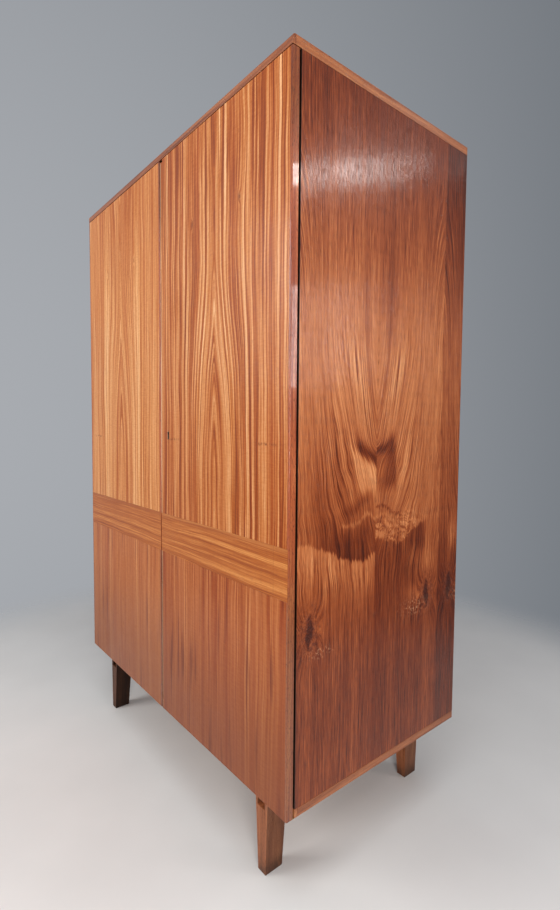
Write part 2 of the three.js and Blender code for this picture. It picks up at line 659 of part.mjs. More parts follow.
place("left_door_panel", cut(mirrored(cut(doorCore(), ...hingeAndBand)), ...doorEdgeBoltCutters()), "doorVeneer");
place("left_door_meeting_lipping",
  cut(mirrored(cut(meetingLipping(), bandGroove())), ...doorEdgeBoltCutters()), "lipping");
place("right_door_panel", cut(doorCore(), ...hingeAndBand, ...rightOnly), "doorVeneer");
place("right_door_meeting_lipping", cut(meetingLipping(), bandGroove(), ...rightOnly), "lipping");
for (const side of ["left", "right"]) {
  place(`${side}_door_hinge_lipping`, handed(side, cut(hingeLipping(), ...hingeAndBand)), "lipping");
  place(`${side}_door_cross_band`, handed(side, crossBand()), "bandVeneer");
}

// ---------------------------------------------------------------- legs and the frame between them
const legOuter = half - LEG_SIDE_INSET;
const legHead = caseUnder - GLUE_LINE;
const sideRailX = [legOuter - LEG_OUTER_CHEEK - RAIL_WIDTH, legOuter - LEG_OUTER_CHEEK];
const sideRailFoot = caseUnder - RAIL_HEIGHT;
const legEnds = {
  front: { face: caseFront + LEG_FRONT_INSET, inward: 1 },
  back: { face: caseBack - LEG_BACK_INSET, inward: -1 },
};

// Tapering to the foot on both sides and behind, with an open slot at the head for the side rail.
function leg({ face, inward }) {
  const wide = (depth) => face + inward * depth;
  const footOuter = legOuter - LEG_OUTER_TAPER;
  const fromFront = outline([
    [footOuter, 0], [legOuter, legHead], [legOuter - LEG_TOP.x, legHead], [footOuter - LEG_FOOT.x, 0],
  ]);
  const fromSide = outline([[face, 0], [face, legHead], [wide(LEG_TOP.y), legHead], [wide(LEG_FOOT.y), 0]]);
  const [near, far] = [face, wide(LEG_TOP.y)].sort((a, b) => a - b);
  const tapered = common(
    extrudeAlongY(fromFront, [near - THROUGH, far + THROUGH]),
    extrudeAlongX(fromSide, [legOuter - LEG_TOP.x - THROUGH, legOuter + THROUGH]));
  const slot = box(widened(sideRailX, FIT), [near - THROUGH, far + THROUGH],
    [sideRailFoot - FIT, caseUnder + THROUGH]);
  return cut(tapered, slot);
}

const sideRailY = [legEnds.front.face + RAIL_END_SETBACK, legEnds.back.face - RAIL_END_SETBACK];
const sideRail = () => box(sideRailX, sideRailY, [sideRailFoot, legHead]);

function crossRail(front) {
  const reach = sideRailX[0] - GLUE_LINE;
  return box([-reach, reach], [front, front + RAIL_WIDTH], [sideRailFoot, legHead]);
}

for (const side of ["left", "right"]) {
  for (const [end, where] of Object.entries(legEnds)) {
    place(`${end}_${side}_leg`, handed(side, leg(where)), "leg");
  }
  place(`${side}_frame_rail`, handed(side, sideRail()), "leg");
}
place("front_cross_rail", crossRail(legEnds.front.face + LEG_TOP.y + CROSS_RAIL_INSET), "leg");
place("back_cross_rail", crossRail(legEnds.back.face - LEG_TOP.y - CROSS_RAIL_INSET - RAIL_WIDTH), "leg");

export default wardrobe;
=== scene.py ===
# %% [markdown]
# # A two-door wardrobe in figured veneer
#
# The joinery is already made: every board, leg, hinge and bolt is a finished solid in the frame, at its
# real size and in metres. This lesson gives those solids their woods and metals, adds the small pieces
# that hold them together, and lights them. The first cell loads the frame and measures its box, because
# nothing that is added later may stick out of it.

# %% Load the wardrobe's frame
import json
import math
import random

import bmesh
import bpy
from mathutils import Matrix, Vector

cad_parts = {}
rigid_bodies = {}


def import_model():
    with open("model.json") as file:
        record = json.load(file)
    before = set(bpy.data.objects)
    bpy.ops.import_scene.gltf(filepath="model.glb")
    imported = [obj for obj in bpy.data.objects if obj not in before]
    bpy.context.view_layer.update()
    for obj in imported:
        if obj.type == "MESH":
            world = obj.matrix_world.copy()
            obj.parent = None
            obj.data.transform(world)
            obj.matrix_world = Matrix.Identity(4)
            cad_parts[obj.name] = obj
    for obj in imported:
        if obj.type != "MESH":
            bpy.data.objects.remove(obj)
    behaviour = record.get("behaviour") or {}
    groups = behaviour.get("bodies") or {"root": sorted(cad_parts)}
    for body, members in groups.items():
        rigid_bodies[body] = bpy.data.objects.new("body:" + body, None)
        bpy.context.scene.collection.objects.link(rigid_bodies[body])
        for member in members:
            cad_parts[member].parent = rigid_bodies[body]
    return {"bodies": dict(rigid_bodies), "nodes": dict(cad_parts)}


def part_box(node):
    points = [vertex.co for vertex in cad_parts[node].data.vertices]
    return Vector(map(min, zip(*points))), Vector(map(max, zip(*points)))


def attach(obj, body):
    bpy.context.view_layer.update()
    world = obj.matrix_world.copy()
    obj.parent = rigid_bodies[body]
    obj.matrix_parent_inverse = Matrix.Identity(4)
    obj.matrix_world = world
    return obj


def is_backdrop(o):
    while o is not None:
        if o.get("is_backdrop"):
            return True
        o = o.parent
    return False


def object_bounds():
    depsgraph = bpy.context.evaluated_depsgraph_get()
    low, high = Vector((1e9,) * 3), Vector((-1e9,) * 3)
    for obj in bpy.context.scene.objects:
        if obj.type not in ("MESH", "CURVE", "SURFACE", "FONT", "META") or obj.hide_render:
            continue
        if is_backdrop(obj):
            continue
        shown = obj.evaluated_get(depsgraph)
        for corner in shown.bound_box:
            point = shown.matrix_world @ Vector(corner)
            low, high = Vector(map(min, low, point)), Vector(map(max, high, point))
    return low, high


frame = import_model()
joinery_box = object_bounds()
node = frame["nodes"]
print("pieces of joinery:", len(node), "overall box:", [tuple(round(c, 3) for c in p) for p in joinery_box])

# %% [markdown]
# ## Where the viewer stands
#
# The wardrobe is seen from close by, a little above half its height, with its right front corner
# nearest. A wide lens makes the top and bottom edges run away steeply. The camera could be pointed with
# a constraint, but three plain turns keep it easy to read: stand it upright, turn it round, tip it down.

# %% Camera
LENS_MM = 20.0
STANDPOINT = Vector((1.285, -0.934, 0.998))
TURN_LEFT, TIP_DOWN, LEAN = math.radians(50.47), math.radians(3.18), math.radians(0.45)

camera = bpy.data.objects.new("viewer", bpy.data.cameras.new("viewer"))
camera.data.lens = LENS_MM
camera.matrix_world = (
    Matrix.Translation(STANDPOINT)
    @ Matrix.Rotation(TURN_LEFT, 4, "Z")
    @ Matrix.Rotation(math.radians(90) - TIP_DOWN, 4, "X")
    @ Matrix.Rotation(LEAN, 4, "Z")
)
bpy.context.scene.collection.objects.link(camera)
bpy.context.scene.camera = camera
print("camera", round((STANDPOINT - joinery_box[1]).length, 2), "m from the far top corner")

# %% [markdown]
# ## A hand for wiring nodes
#
# Wood is drawn with nodes: noise is stretched along the grain and its values are turned into colours.
# Wiring nodes by hand is long-winded, so a small class does it. Each of its methods adds one node and
# hands back its output, and a method may be given numbers or other outputs. A group of ready-made nodes
# would also work, but plain methods let each wood read like a recipe.

# %% Wiring and sums
class Wiring:
    """One material, written as a chain of small steps."""

    def __init__(self, name, **shader):
        self.material = bpy.data.materials.new(name)
        self.material.use_nodes = True
        self.tree = self.material.node_tree
        self.shader = self.tree.nodes["Principled BSDF"]
        for socket, value in shader.items():
            self.shader.inputs[socket.replace("_", " ")].default_value = value

    def step(self, kind, *inputs, output=0, **settings):
        made = self.tree.nodes.new(kind)
        for key, value in settings.items():
            setattr(made, key, value)
        for index, value in enumerate(inputs):
            self.feed(made.inputs[index], value)
        return made.outputs[output]

    def feed(self, socket, value):
        if isinstance(value, bpy.types.NodeSocket):
            self.tree.links.new(value, socket)
        elif value is not None:
            socket.default_value = value

    def set(self, socket, value):
        self.feed(self.shader.inputs[socket], value)

    def place(self):
        """Where a point is in the wardrobe, as three outputs in metres."""
        spot = self.step("ShaderNodeTexCoord", output="Object")
        split = self.tree.nodes.new("ShaderNodeSeparateXYZ")
        self.feed(split.inputs[0], spot)
        return split.outputs[0], split.outputs[1], split.outputs[2]

    def calc(self, operation, a, b=None, c=None):
        return self.step("ShaderNodeMath", a, b, c, operation=operation)

    def add(self, *terms):
        total = terms[0]
        for term in terms[1:]:
            total = self.calc("ADD", total, term)
        return total

    def times(self, a, b):
        return self.calc("MULTIPLY", a, b)

    def less(self, a, b):
        return self.calc("SUBTRACT", a, b)

    def vector(self, x, y, z):
        return self.step("ShaderNodeCombineXYZ", x, y, z)


print("wiring steps:", len([name for name in dir(Wiring) if not name.startswith("_")]))

# %% [markdown]
# ## Steps that draw
#
# A wood needs more than sums: noise for its fibres, a ramp to say where a mark starts and stops, a bell
# for a thin line, and a drawn curve for an edge that no formula would give. These steps are added to the
# wiring in a second class. Both could be one long class, but the sums are of use for any material, and
# these steps are the ones that make a wood.

# %% The recipe class
class Recipe(Wiring):
    """Wiring with the steps that draw grain, marks and colours."""

    def noise(self, across, along, depth, detail=2.0, roughness=0.5):
        made = self.tree.nodes.new("ShaderNodeTexNoise")
        self.feed(made.inputs["Vector"], self.vector(across, along, depth))
        made.inputs["Scale"].default_value = 1.0
        made.inputs["Detail"].default_value = detail
        made.inputs["Roughness"].default_value = roughness
        return made.outputs[0]

    def ramp(self, value, low, high, to_low=0.0, to_high=1.0, smooth=True):
        """Turns low..high into to_low..to_high, and stays at the ends outside them."""
        made = self.tree.nodes.new("ShaderNodeMapRange")
        made.interpolation_type = "SMOOTHSTEP" if smooth else "LINEAR"
        for socket, number in zip(made.inputs, (value, low, high, to_low, to_high)):
            self.feed(socket, number)
        return made.outputs[0]

    def bell(self, value, middle, width):
        """1 at the middle, falling away smoothly on both sides."""
        away = self.calc("DIVIDE", self.less(value, middle), width)
        return self.calc("EXPONENT", self.times(self.times(away, away), -1.0))

    def patch(self, across, along, centre, size):
        """A soft oval patch: 1 at its centre, 0 well outside it."""
        return self.times(self.bell(across, centre[0], size[0]), self.bell(along, centre[1], size[1]))

    def mix(self, share, first, second):
        made = self.tree.nodes.new("ShaderNodeMix")
        made.data_type = "RGBA"
        self.feed(made.inputs["Factor"], share)
        self.feed(made.inputs[6], first)
        self.feed(made.inputs[7], second)
        return made.outputs[2]

    def shade(self, colour, amount):
        """Multiplies a colour by an amount that may change over the surface."""
        made = self.tree.nodes.new("ShaderNodeMix")
        made.data_type, made.blend_type = "RGBA", "MULTIPLY"
        made.inputs["Factor"].default_value = 1.0
        self.feed(made.inputs[6], colour)
        self.feed(made.inputs[7], amount)
        return made.outputs[2]

    def colours(self, value, *stops):
        """A colour ramp; each stop is a position and a colour."""
        made = self.tree.nodes.new("ShaderNodeValToRGB")
        band = made.color_ramp
        while len(band.elements) < len(stops):
            band.elements.new(0.5)
        for element, (position, colour) in zip(band.elements, stops):
            element.position, element.color = position, colour
        self.feed(made.inputs[0], value)
        return made.outputs[0]

    def curve(self, value, *points):
        """A smooth line drawn through a few points; everything stays inside 0..1."""
        made = self.tree.nodes.new("ShaderNodeFloatCurve")
        line = made.mapping.curves[0]
        line.points[0].location, line.points[-1].location = points[0], points[-1]
        for point in points[1:-1]:
            line.points.new(*point)
        made.mapping.update()
        self.feed(made.inputs["Value"], value)
        return made.outputs[0]

    def bump(self, height, distance, strength=1.0):
        """Raises the surface, and the lacquer over it, by a height in metres."""
        made = self.tree.nodes.new("ShaderNodeBump")
        made.inputs["Strength"].default_value = strength
        made.inputs["Distance"].default_value = distance
        self.feed(made.inputs["Height"], height)
        self.set("Normal", made.outputs[0])
        self.set("Coat Normal", made.outputs[0])


print("drawing steps:", len([name for name in vars(Recipe) if not name.startswith("_")]))

# %% [markdown]
# ## A colour chart
#
# A stain is matched to a chart, and a chart's colours are easiest to write as six figures. Blender counts
# light itself, not the chart's steps, so the figures are turned into amounts of light once, here. The
# colour picker would do the same by hand, but then the numbers in this file could not be read as colours.

# %% Tones
def tone(code):
    """A chart colour such as 'c98b5e', as Blender's numbers."""
    parts = [int(code[i:i + 2], 16) / 255 for i in (0, 2, 4)]
    return tuple(p / 12.92 if p <= 0.04045 else ((p + 0.055) / 1.055) ** 2.4 for p in parts) + (1.0,)


print("a mid brown on the chart is", [round(part, 3) for part in tone("c98b5e")[:3]], "as light")

# %% [markdown]
# ## The doors' veneer
#
# The doors are faced with ribbon-striped veneer: a tree whose fibres spiral one way and then the other
# shows light and dark lines a few millimetres wide. Each door has two leaves opened like a book about its
# middle. There the knife met the growth rings at a slant and left long pointed arches. One field gives
# both: the distance from the joint, drifting with height, is the grain, and noise read along it draws the
# lines. A wave texture would be simpler, but its lines are too even to pass for wood.

# %% The grain of one door
def middle(name):
    low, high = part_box(name)
    return (low + high) / 2


DOOR_JOINT = middle("right_door_panel").x
BAND_FOOT, BAND_HEAD = (corner.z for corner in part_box("right_door_cross_band"))
PIN_KNOT = (0.100, 1.488)


def book_matched_field(r, x, z, upper):
    """How far a point is across the tree, with the arches in the upper sheet only."""
    leaf = r.calc("ABSOLUTE", r.less(r.calc("ABSOLUTE", x), DOOR_JOINT))
    arch = r.calc("SQRT", r.add(r.times(leaf, leaf), 0.005 ** 2))
    rise = r.times(r.ramp(z, 0.86, 1.44, 0.0, 0.052), r.bell(leaf, 0.0, 0.105))
    sway = r.times(r.less(r.noise(r.times(x, 5.0), r.times(z, 1.9), 4.0), 0.5), 0.030)
    ripple = r.times(r.less(r.noise(r.times(x, 30.0), r.times(z, 8.0), 7.0), 0.5), 0.0050)
    curl = r.times(r.patch(leaf, z, PIN_KNOT, (0.006, 0.013)), 0.007)
    return leaf, r.add(arch, r.times(rise, upper), sway, ripple, curl)


print("door joint at x =", round(DOOR_JOINT, 3), "band", round(BAND_FOOT, 3), "to", round(BAND_HEAD, 3))

# %% [markdown]
# ## Ribbon stripes
#
# The stripes come in widths: broad clouds a few centimetres wide, ribbons near one centimetre, then dark
# lines and thin lines, which are the edges between layers of fibres. A bell about the middle of a noise
# gives such a line, because it is narrow wherever the noise passes that value. The lower sheets came from
# a duller part of the log, so their contrast is turned down, and they are darkened towards the floor as
# painted shade. The left door gets less contrast and lighter stripes than the right, a painted sheen.

# %% Stripes and their colour
DULL_AND_SHADED_FOOT, PAINTED_SHADE_TOP = 0.22, 0.62


def door_stripes(r, x, z, grain, layer, upper, right):
    """From 0, the darkest line, to 1, the brightest ribbon."""
    ribbon_noise = r.noise(r.times(grain, 130.0), r.times(z, 0.8), r.add(layer, 2.0), detail=1.5)
    line_noise = r.noise(r.times(grain, 96.0), r.times(z, 0.6), r.add(layer, 9.0), detail=1.0)
    thin_noise = r.noise(r.times(grain, 200.0), r.times(z, 1.2), r.add(layer, 15.0), detail=1.0)
    fine = r.noise(r.times(grain, 640.0), r.times(z, 8.0), layer, detail=1.0)
    stripes = r.add(0.73, r.times(r.ramp(ribbon_noise, 0.45, 0.55), 0.22),
                    r.times(r.bell(line_noise, 0.5, 0.085), -0.46),
                    r.times(r.bell(thin_noise, 0.5, 0.090), -0.28), r.times(r.less(fine, 0.5), 0.70))
    faded = r.ramp(z, DULL_AND_SHADED_FOOT, BAND_FOOT, 0.16, 0.66)
    contrast = r.add(r.times(upper, r.less(1.0, faded)), faded)
    # The left door's stripes get less contrast: painted sheen.
    contrast = r.times(contrast, r.ramp(right, 0.0, 1.0, 0.60, 1.0))
    lively = r.ramp(r.noise(r.times(x, 9.0), r.times(z, 3.0), 1.0), 0.32, 0.62, 0.65, 1.0)
    ruffle = r.less(r.noise(r.times(x, 55.0), r.times(z, 260.0), 6.0, detail=1.0), 0.5)
    # The last term lifts the left door's stripes a little: painted sheen.
    return r.add(0.5, r.times(r.less(stripes, 0.5), r.times(contrast, lively)), r.times(ruffle, 0.16),
                 r.ramp(right, 0.0, 1.0, 0.03, 0.0))


def door_colour(r, x, z, stripes, broad, upper, right):
    """Stripes as colours: lower sheets duller, pinker and in painted shade; the left door in painted sheen.
    """
    colour = r.colours(stripes, (0.04, tone("8a3d06")), (0.32, tone("b8641f")), (0.60, tone("de9a5c")),
                       (0.94, tone("fdd0a0")))
    colour = r.shade(colour, r.colours(broad, (0.33, tone("ecd6c0")), (0.62, tone("ffffff"))))
    # A duller, pinker tint for the lower sheets, deepening towards the floor as painted shade.
    lower_tint_and_painted_shade = r.mix(r.ramp(z, DULL_AND_SHADED_FOOT, PAINTED_SHADE_TOP), tone("b79f95"), tone("e3cdbf"))
    streak = r.noise(r.times(x, 60.0), r.times(z, 3.5), 12.0, detail=2.0)
    lower_tint_and_painted_shade = r.shade(lower_tint_and_painted_shade, r.colours(streak, (0.30, tone("cfb9ad")), (0.42, tone("ffffff"))))
    colour = r.shade(colour, r.mix(upper, lower_tint_and_painted_shade, tone("ffffff")))
    # The right door is darkened a little, so the left one keeps a painted sheen.
    return r.shade(colour, r.mix(right, tone("ffffff"), tone("f2e6dc")))


print("the lower sheets are dullest at", DULL_AND_SHADED_FOOT, "m and clear up by", PAINTED_SHADE_TOP, "m")

# %% [markdown]
# ## Marks in the doors, and their lacquer
#
# Across the doors runs a line of short ticks, where the log was once strained, and near the head of each
# leaf sits a pin knot. Hands have polished the lacquer round the keyhole. The inner face is cut from
# plainer veneer, so depth decides which face is drawn. Two materials would do that too, but one follows
# the panel however thick it is made.

# %% Veneer of the doors
DOOR_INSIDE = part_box("right_door_panel")[1].y - 0.0015
KEYHOLE = middle("keyhole_liner")


def cross_crack(r, x, z):
    """Fine broken marks across the grain, where the log was once strained."""
    height = r.add(0.957, r.times(r.noise(r.times(x, 45.0), 0.0, 2.0), 0.012))
    near = r.add(r.bell(x, 0.080, 0.034), r.bell(x, 0.470, 0.042), r.bell(x, -0.47, 0.03))
    ticks = r.ramp(r.noise(r.times(x, 260.0), r.times(z, 60.0), 5.0), 0.47, 0.55)
    return r.times(r.times(r.bell(z, height, 0.0026), near), ticks)


def door_veneer():
    r = Recipe("ribbon_veneer", Specular_IOR_Level=0.22, Coat_Weight=0.24, Coat_Roughness=0.12)
    x, y, z = r.place()
    upper = r.ramp(z, BAND_FOOT, BAND_FOOT + 0.002)
    right = r.ramp(x, -0.001, 0.001)
    leaf, grain = book_matched_field(r, x, z, upper)
    page = r.ramp(r.less(r.calc("ABSOLUTE", x), DOOR_JOINT), -0.004, 0.004, 0.0, 0.16)
    layer = r.add(r.times(r.calc("SIGN", x), 3.0), r.times(upper, 5.0), page)
    stripes = door_stripes(r, x, z, grain, layer, upper, right)
    broad = r.noise(r.times(grain, 34.0), r.times(z, 0.5), layer, detail=1.0)
    colour = door_colour(r, x, z, stripes, broad, upper, right)

    pore_mask = r.ramp(r.noise(r.times(grain, 1500.0), r.times(z, 60.0), y, detail=1.0), 0.58, 0.70)
    knot = r.times(r.patch(leaf, z, PIN_KNOT, (0.0044, 0.008)), r.ramp(right, 0.0, 1.0, 0.3, 1.0))
    flaw = r.add(cross_crack(r, x, z), knot)
    colour = r.mix(r.add(r.times(pore_mask, 0.34), r.times(flaw, 0.95)), colour, tone("7a3a12"))
    inside = r.ramp(y, DOOR_INSIDE - 0.0005, DOOR_INSIDE)
    plain = r.noise(r.times(x, 150.0), r.times(z, 1.6), 20.0, detail=3.0)
    colour = r.mix(inside, colour, r.colours(plain, (0.35, tone("936039")), (0.65, tone("ac7a4e"))))
    r.set("Base Color", colour)

    rubbed = r.patch(x, z, (KEYHOLE.x, KEYHOLE.z), (0.035, 0.05))
    smear = r.noise(r.times(x, 5.0), r.times(z, 4.0), 8.0, detail=3.0)
    r.set("Roughness", r.add(r.ramp(smear, 0.3, 0.7, 0.30, 0.44), r.times(pore_mask, 0.12),
                             r.times(rubbed, -0.08), r.times(inside, 0.15)))
    r.bump(r.add(r.times(pore_mask, -0.7), r.times(stripes, 0.5), r.times(flaw, -0.5)), 0.00012, 0.45)
    return r.material


ribbon = door_veneer()
print("door veneer:", len(ribbon.node_tree.nodes), "nodes")

# %% [markdown]
# ## The sides' veneer
#
# The sides carry the showpiece leaves, cut where a branch left the trunk. They are book-matched about
# upright joints a quarter of a metre apart. Above, the grain is straight. It then narrows in a V down to
# a throat on the joint, and below that it turns, dips and catches the light in patches. Those patches
# look painted, but they are fibres standing on end, dark on one leaf and bright on its mirror. Each
# patch is drawn one by one: a curve gives its edge, and noise frays that edge along the fibres. One
# all-over texture would never put a throat, a shadow and a knot where a tree puts them.

# %% The grain of one leaf
SIDE_JOINT, LEAF_WIDTH = -0.040, 0.253
THROAT, KNOT = 0.943, (0.203, 0.578)


def throat_field(r, leaf, z, bend):
    """The grain of one leaf: straight above, drawn in to the joint at the throat, looser below."""
    bowl = r.calc("SQRT", r.add(r.times(leaf, leaf), 0.003 ** 2))
    fall = r.add(r.ramp(z, 0.62, 1.25, 0.0, 0.125),
                 r.times(r.ramp(z, THROAT - 0.022, THROAT + 0.03, 0.0, 0.030), r.bell(leaf, 0.0, 0.055)))
    rough = r.add(0.12, r.bell(z, 0.80, 0.17))
    wander = r.times(r.times(r.less(bend, 0.5), 0.046), rough)
    fall = r.times(fall, r.ramp(leaf, 0.13, 0.25, 1.0, 0.25))
    lift = r.times(r.ramp(z, 1.20, 1.62, 0.0, 0.085), r.bell(leaf, LEAF_WIDTH, 0.062))
    straight = r.add(r.less(r.less(bowl, fall), lift), wander)
    out, up = r.less(leaf, KNOT[0]), r.less(z, KNOT[1])
    ring = r.calc("SQRT", r.add(r.times(r.times(out, out), 2.6), r.times(up, up)))
    ring = r.add(ring, r.times(r.less(bend, 0.5), 0.05))
    eye = r.ramp(ring, 0.004, 0.040, 1.0, 0.0)
    swept = r.add(straight, r.times(r.times(out, 1.5), r.bell(ring, 0.0, 0.050)))
    return r.add(swept, r.times(eye, r.less(r.times(ring, 1.3), swept)))


print("side veneer joints at y =", SIDE_JOINT, round(SIDE_JOINT + LEAF_WIDTH, 3), "throat at", THROAT, "m")

# %% [markdown]
# ## Drawing the edge of a patch
#
# A patch of turned fibres ends along a line that wanders across the leaf. A float curve holds such a
# line: it is drawn through a few points, given in metres, and hands back a height for every place across
# the leaf. Comparing a point with that height tells which side of the line it is on. An ellipse would be
# shorter to write, but no shadow in wood is an ellipse.

# %% Drawn edges
DRAWN_FROM, DRAWN_SPAN = 0.6, 0.4


def contour(r, leaf, *points):
    """The height of a line drawn across one leaf, through points given in metres."""
    marks = [(across / LEAF_WIDTH, (height - DRAWN_FROM) / DRAWN_SPAN) for across, height in points]
    drawn = r.curve(r.calc("DIVIDE", leaf, LEAF_WIDTH), *marks)
    return r.add(r.times(drawn, DRAWN_SPAN), DRAWN_FROM)


def above(r, z, edge, softness):
    return r.ramp(r.less(z, edge), -softness, softness)


def below(r, z, edge, softness):
    return r.ramp(r.less(z, edge), -softness, softness, 1.0, 0.0)


print("edges can be drawn from", DRAWN_FROM, "to", DRAWN_FROM + DRAWN_SPAN, "m up")

# %% [markdown]
# ## The leaf in front of the joint
#
# Where the branch left the trunk, the fibres of this leaf stand on end: a light cheek under the throat,
# and below it a dark shadow with a sharp foot and a glow beneath. Each is one mask, made by multiplying
# an upper edge, a lower edge and a fade along the leaf. The sum of the masks is added to the grain, so
# the fibres run on through light and shadow, which painting a colour on top would hide.

# %% Figure of the front leaf
def front_figure(r, leaf, z):
    """A light cheek, and a shadow with a sharp foot."""
    foot = contour(r, leaf, (0.0, 0.722), (0.034, 0.702), (0.10, 0.716), (0.155, 0.738), (0.20, 0.756),
                   (LEAF_WIDTH, 0.764))
    head = contour(r, leaf, (0.0, 0.792), (0.03, 0.802), (0.06, 0.788), (0.10, 0.786), (0.16, 0.80),
                   (LEAF_WIDTH, 0.85))
    shadow = r.times(above(r, z, foot, 0.005), below(r, z, head, 0.045))
    shadow = r.times(shadow, r.ramp(leaf, 0.12, 0.22, 1.0, 0.1))
    shadow = r.times(shadow, r.ramp(leaf, 0.006, 0.040, 0.55, 1.0))
    glow = r.times(below(r, z, foot, 0.003), r.ramp(r.less(foot, z), 0.0, 0.15, 1.0, 0.0))
    fold = r.add(0.926, r.times(leaf, 0.52))
    throat = r.times(r.bell(z, fold, 0.017), r.ramp(leaf, 0.054, 0.074, 1.0, 0.0))
    cheek_edge = r.add(0.052, r.times(r.less(z, 0.85), 0.36))
    cheek = r.times(r.ramp(r.less(leaf, cheek_edge), -0.004, 0.006, 1.0, 0.0),
                    r.times(below(r, z, r.less(fold, 0.014), 0.008), r.ramp(z, 0.835, 0.868)))
    under = r.patch(r.add(leaf, r.times(r.less(z, 0.826), 1.2)), z, (0.066, 0.826), (0.030, 0.024))
    thread = r.times(r.bell(z, head, 0.0045), r.ramp(leaf, 0.10, 0.125, 1.0, 0.0))
    hollow = r.patch(leaf, z, (0.150, 0.86), (0.060, 0.10))
    return r.add(r.times(shadow, -0.28), r.times(glow, 0.18), r.times(throat, -0.46), r.times(cheek, 0.24),
                 r.times(under, -0.24), r.times(thread, 0.22), r.times(hollow, -0.17))


print("front leaf: from y =", round(SIDE_JOINT - LEAF_WIDTH, 3), "to", SIDE_JOINT)

# %% [markdown]
# ## The leaf behind the joint
#
# This leaf is the mirror of the first in its grain but not in its light. Fibres that lean towards the eye
# on one leaf lean away on the other, so here the cheek is dark and ribbed, ripples run across below it,
# and the shadow is long. Mirroring the whole figure would be less work, and it would look printed.

# %% Figure of the middle leaf
MIDDLE_PATCHES = (((0.100, 0.905), (0.030, 0.075), 0.14), ((0.195, 0.665), (0.045, 0.035), 0.18),
                  ((0.150, 0.592), (0.035, 0.022), 0.16), ((0.030, 1.33), (0.045, 0.15), -0.13))


def middle_figure(r, leaf, z):
    """A ribbed dark cheek, ripples below it, then a long shadow."""
    foot = contour(r, leaf, (0.0, 0.742), (0.05, 0.735), (0.09, 0.728), (0.13, 0.746), (0.19, 0.766),
                   (LEAF_WIDTH, 0.77))
    shadow = r.times(below(r, z, foot, 0.004), r.ramp(leaf, 0.17, 0.215, 1.0, 0.0))
    shadow = r.times(shadow, r.ramp(z, 0.50, 0.70, 0.35, 1.0))
    corner = r.times(r.times(shadow, r.ramp(leaf, 0.11, 0.135)), r.ramp(z, 0.68, 0.72))
    cross = r.noise(r.times(leaf, 34.0), r.times(r.add(z, r.times(leaf, 0.25)), 150.0), 3.0, detail=2.0)
    ripples = r.times(r.times(above(r, z, foot, 0.003), r.ramp(z, 0.775, 0.815, 1.0, 0.0)),
                      r.ramp(leaf, 0.12, 0.20, 1.0, 0.2))
    fold = r.add(0.944, r.times(leaf, 0.40))
    throat = r.bell(z, fold, r.ramp(leaf, 0.0, 0.06, 0.010, 0.018))
    throat = r.times(throat, r.ramp(leaf, 0.052, 0.068, 1.0, 0.0))
    ribs = r.times(below(r, z, r.less(fold, 0.012), 0.008), r.ramp(z, 0.845, 0.875))
    ribs = r.times(ribs, r.ramp(leaf, 0.066, 0.074, 1.0, 0.0))
    crease = r.bell(z, r.less(0.824, r.times(leaf, 0.37)), 0.0035)
    crease = r.times(crease, r.ramp(leaf, 0.085, 0.105, 1.0, 0.0))
    figure = r.add(r.times(shadow, -0.15), r.times(corner, -0.13), r.times(throat, -0.46),
                   r.times(r.times(ribs, r.ramp(leaf, 0.0, 0.062, 0.45, 1.0)), -0.27),
                   r.times(crease, -0.26), r.times(ripples, r.ramp(cross, 0.40, 0.60, -0.10, 0.24)))
    for centre, size, amount in MIDDLE_PATCHES:
        figure = r.add(figure, r.times(r.patch(leaf, z, centre, size), amount))
    return figure


print("middle leaf: from y =", SIDE_JOINT, "to", round(SIDE_JOINT + LEAF_WIDTH, 3))

# %% [markdown]
# ## Fibres
#
# Between the big patches the wood is made of fibres, in four sizes from broad clouds to hairs. Some are
# lit along one side and dark along the other, most of all in the two fans that rise from the throat, so
# a mask says how lively they are at each place. More detail on one noise would fill in the same sizes,
# but it couldn't be turned up in one place and down in another.

# %% Fibres of the sides
LIVELY_PATCHES = (((0.130, 0.93), (0.050, 0.13), 0.85), ((LEAF_WIDTH, 1.40), (0.075, 0.14), 0.60),
                  ((0.130, 0.68), (0.080, 0.06), 0.85))


def lively_places(r, leaf, z):
    """How strongly the fibres catch the light."""
    fans = r.bell(r.less(leaf, r.times(r.less(z, 0.99), 0.42)), 0.012, 0.026)
    fans = r.times(fans, r.times(r.ramp(z, 0.95, 0.99), r.ramp(z, 1.13, 1.22, 1.0, 0.0)))
    lively = r.add(0.16, r.times(fans, 1.5))
    for centre, size, amount in LIVELY_PATCHES:
        lively = r.add(lively, r.times(r.patch(leaf, z, centre, size), amount))
    return lively


def side_fibres(r, leaf, z, grain, which, threads):
    strand = r.noise(r.times(grain, 170.0), r.times(z, 3.0), r.add(which, 9.0), detail=1.5)
    curls = r.add(r.times(r.ramp(strand, 0.54, 0.59), 0.17), r.times(r.ramp(strand, 0.46, 0.41), -0.25))
    hairs = r.noise(r.times(grain, 640.0), r.times(z, 16.0), r.add(which, 6.0), detail=1.0)
    hairs = r.add(r.times(r.ramp(hairs, 0.57, 0.62), 0.12), r.times(r.ramp(hairs, 0.43, 0.38), -0.14))
    off_joint = r.ramp(leaf, 0.002, 0.014, 0.25, 1.0)
    fibres = r.add(r.times(r.less(threads, 0.5), 0.55), r.times(curls, lively_places(r, leaf, z)), hairs)
    return r.times(fibres, off_joint)


def knot_marks(r, leaf, z, tug):
    """A dark eye with curled fibres round it."""
    swirl = r.less(r.noise(r.times(leaf, 150.0), r.times(z, 110.0), 8.0, detail=4.0, roughness=0.7), 0.5)
    eye = r.patch(r.add(leaf, r.times(tug, 0.05)), r.add(z, r.times(tug, 0.07)), KNOT, (0.014, 0.030))
    return r.add(r.times(r.ramp(eye, 0.12, 0.60), -0.36),
                 r.times(r.patch(leaf, z, KNOT, (0.034, 0.050)), r.times(swirl, 1.6)))


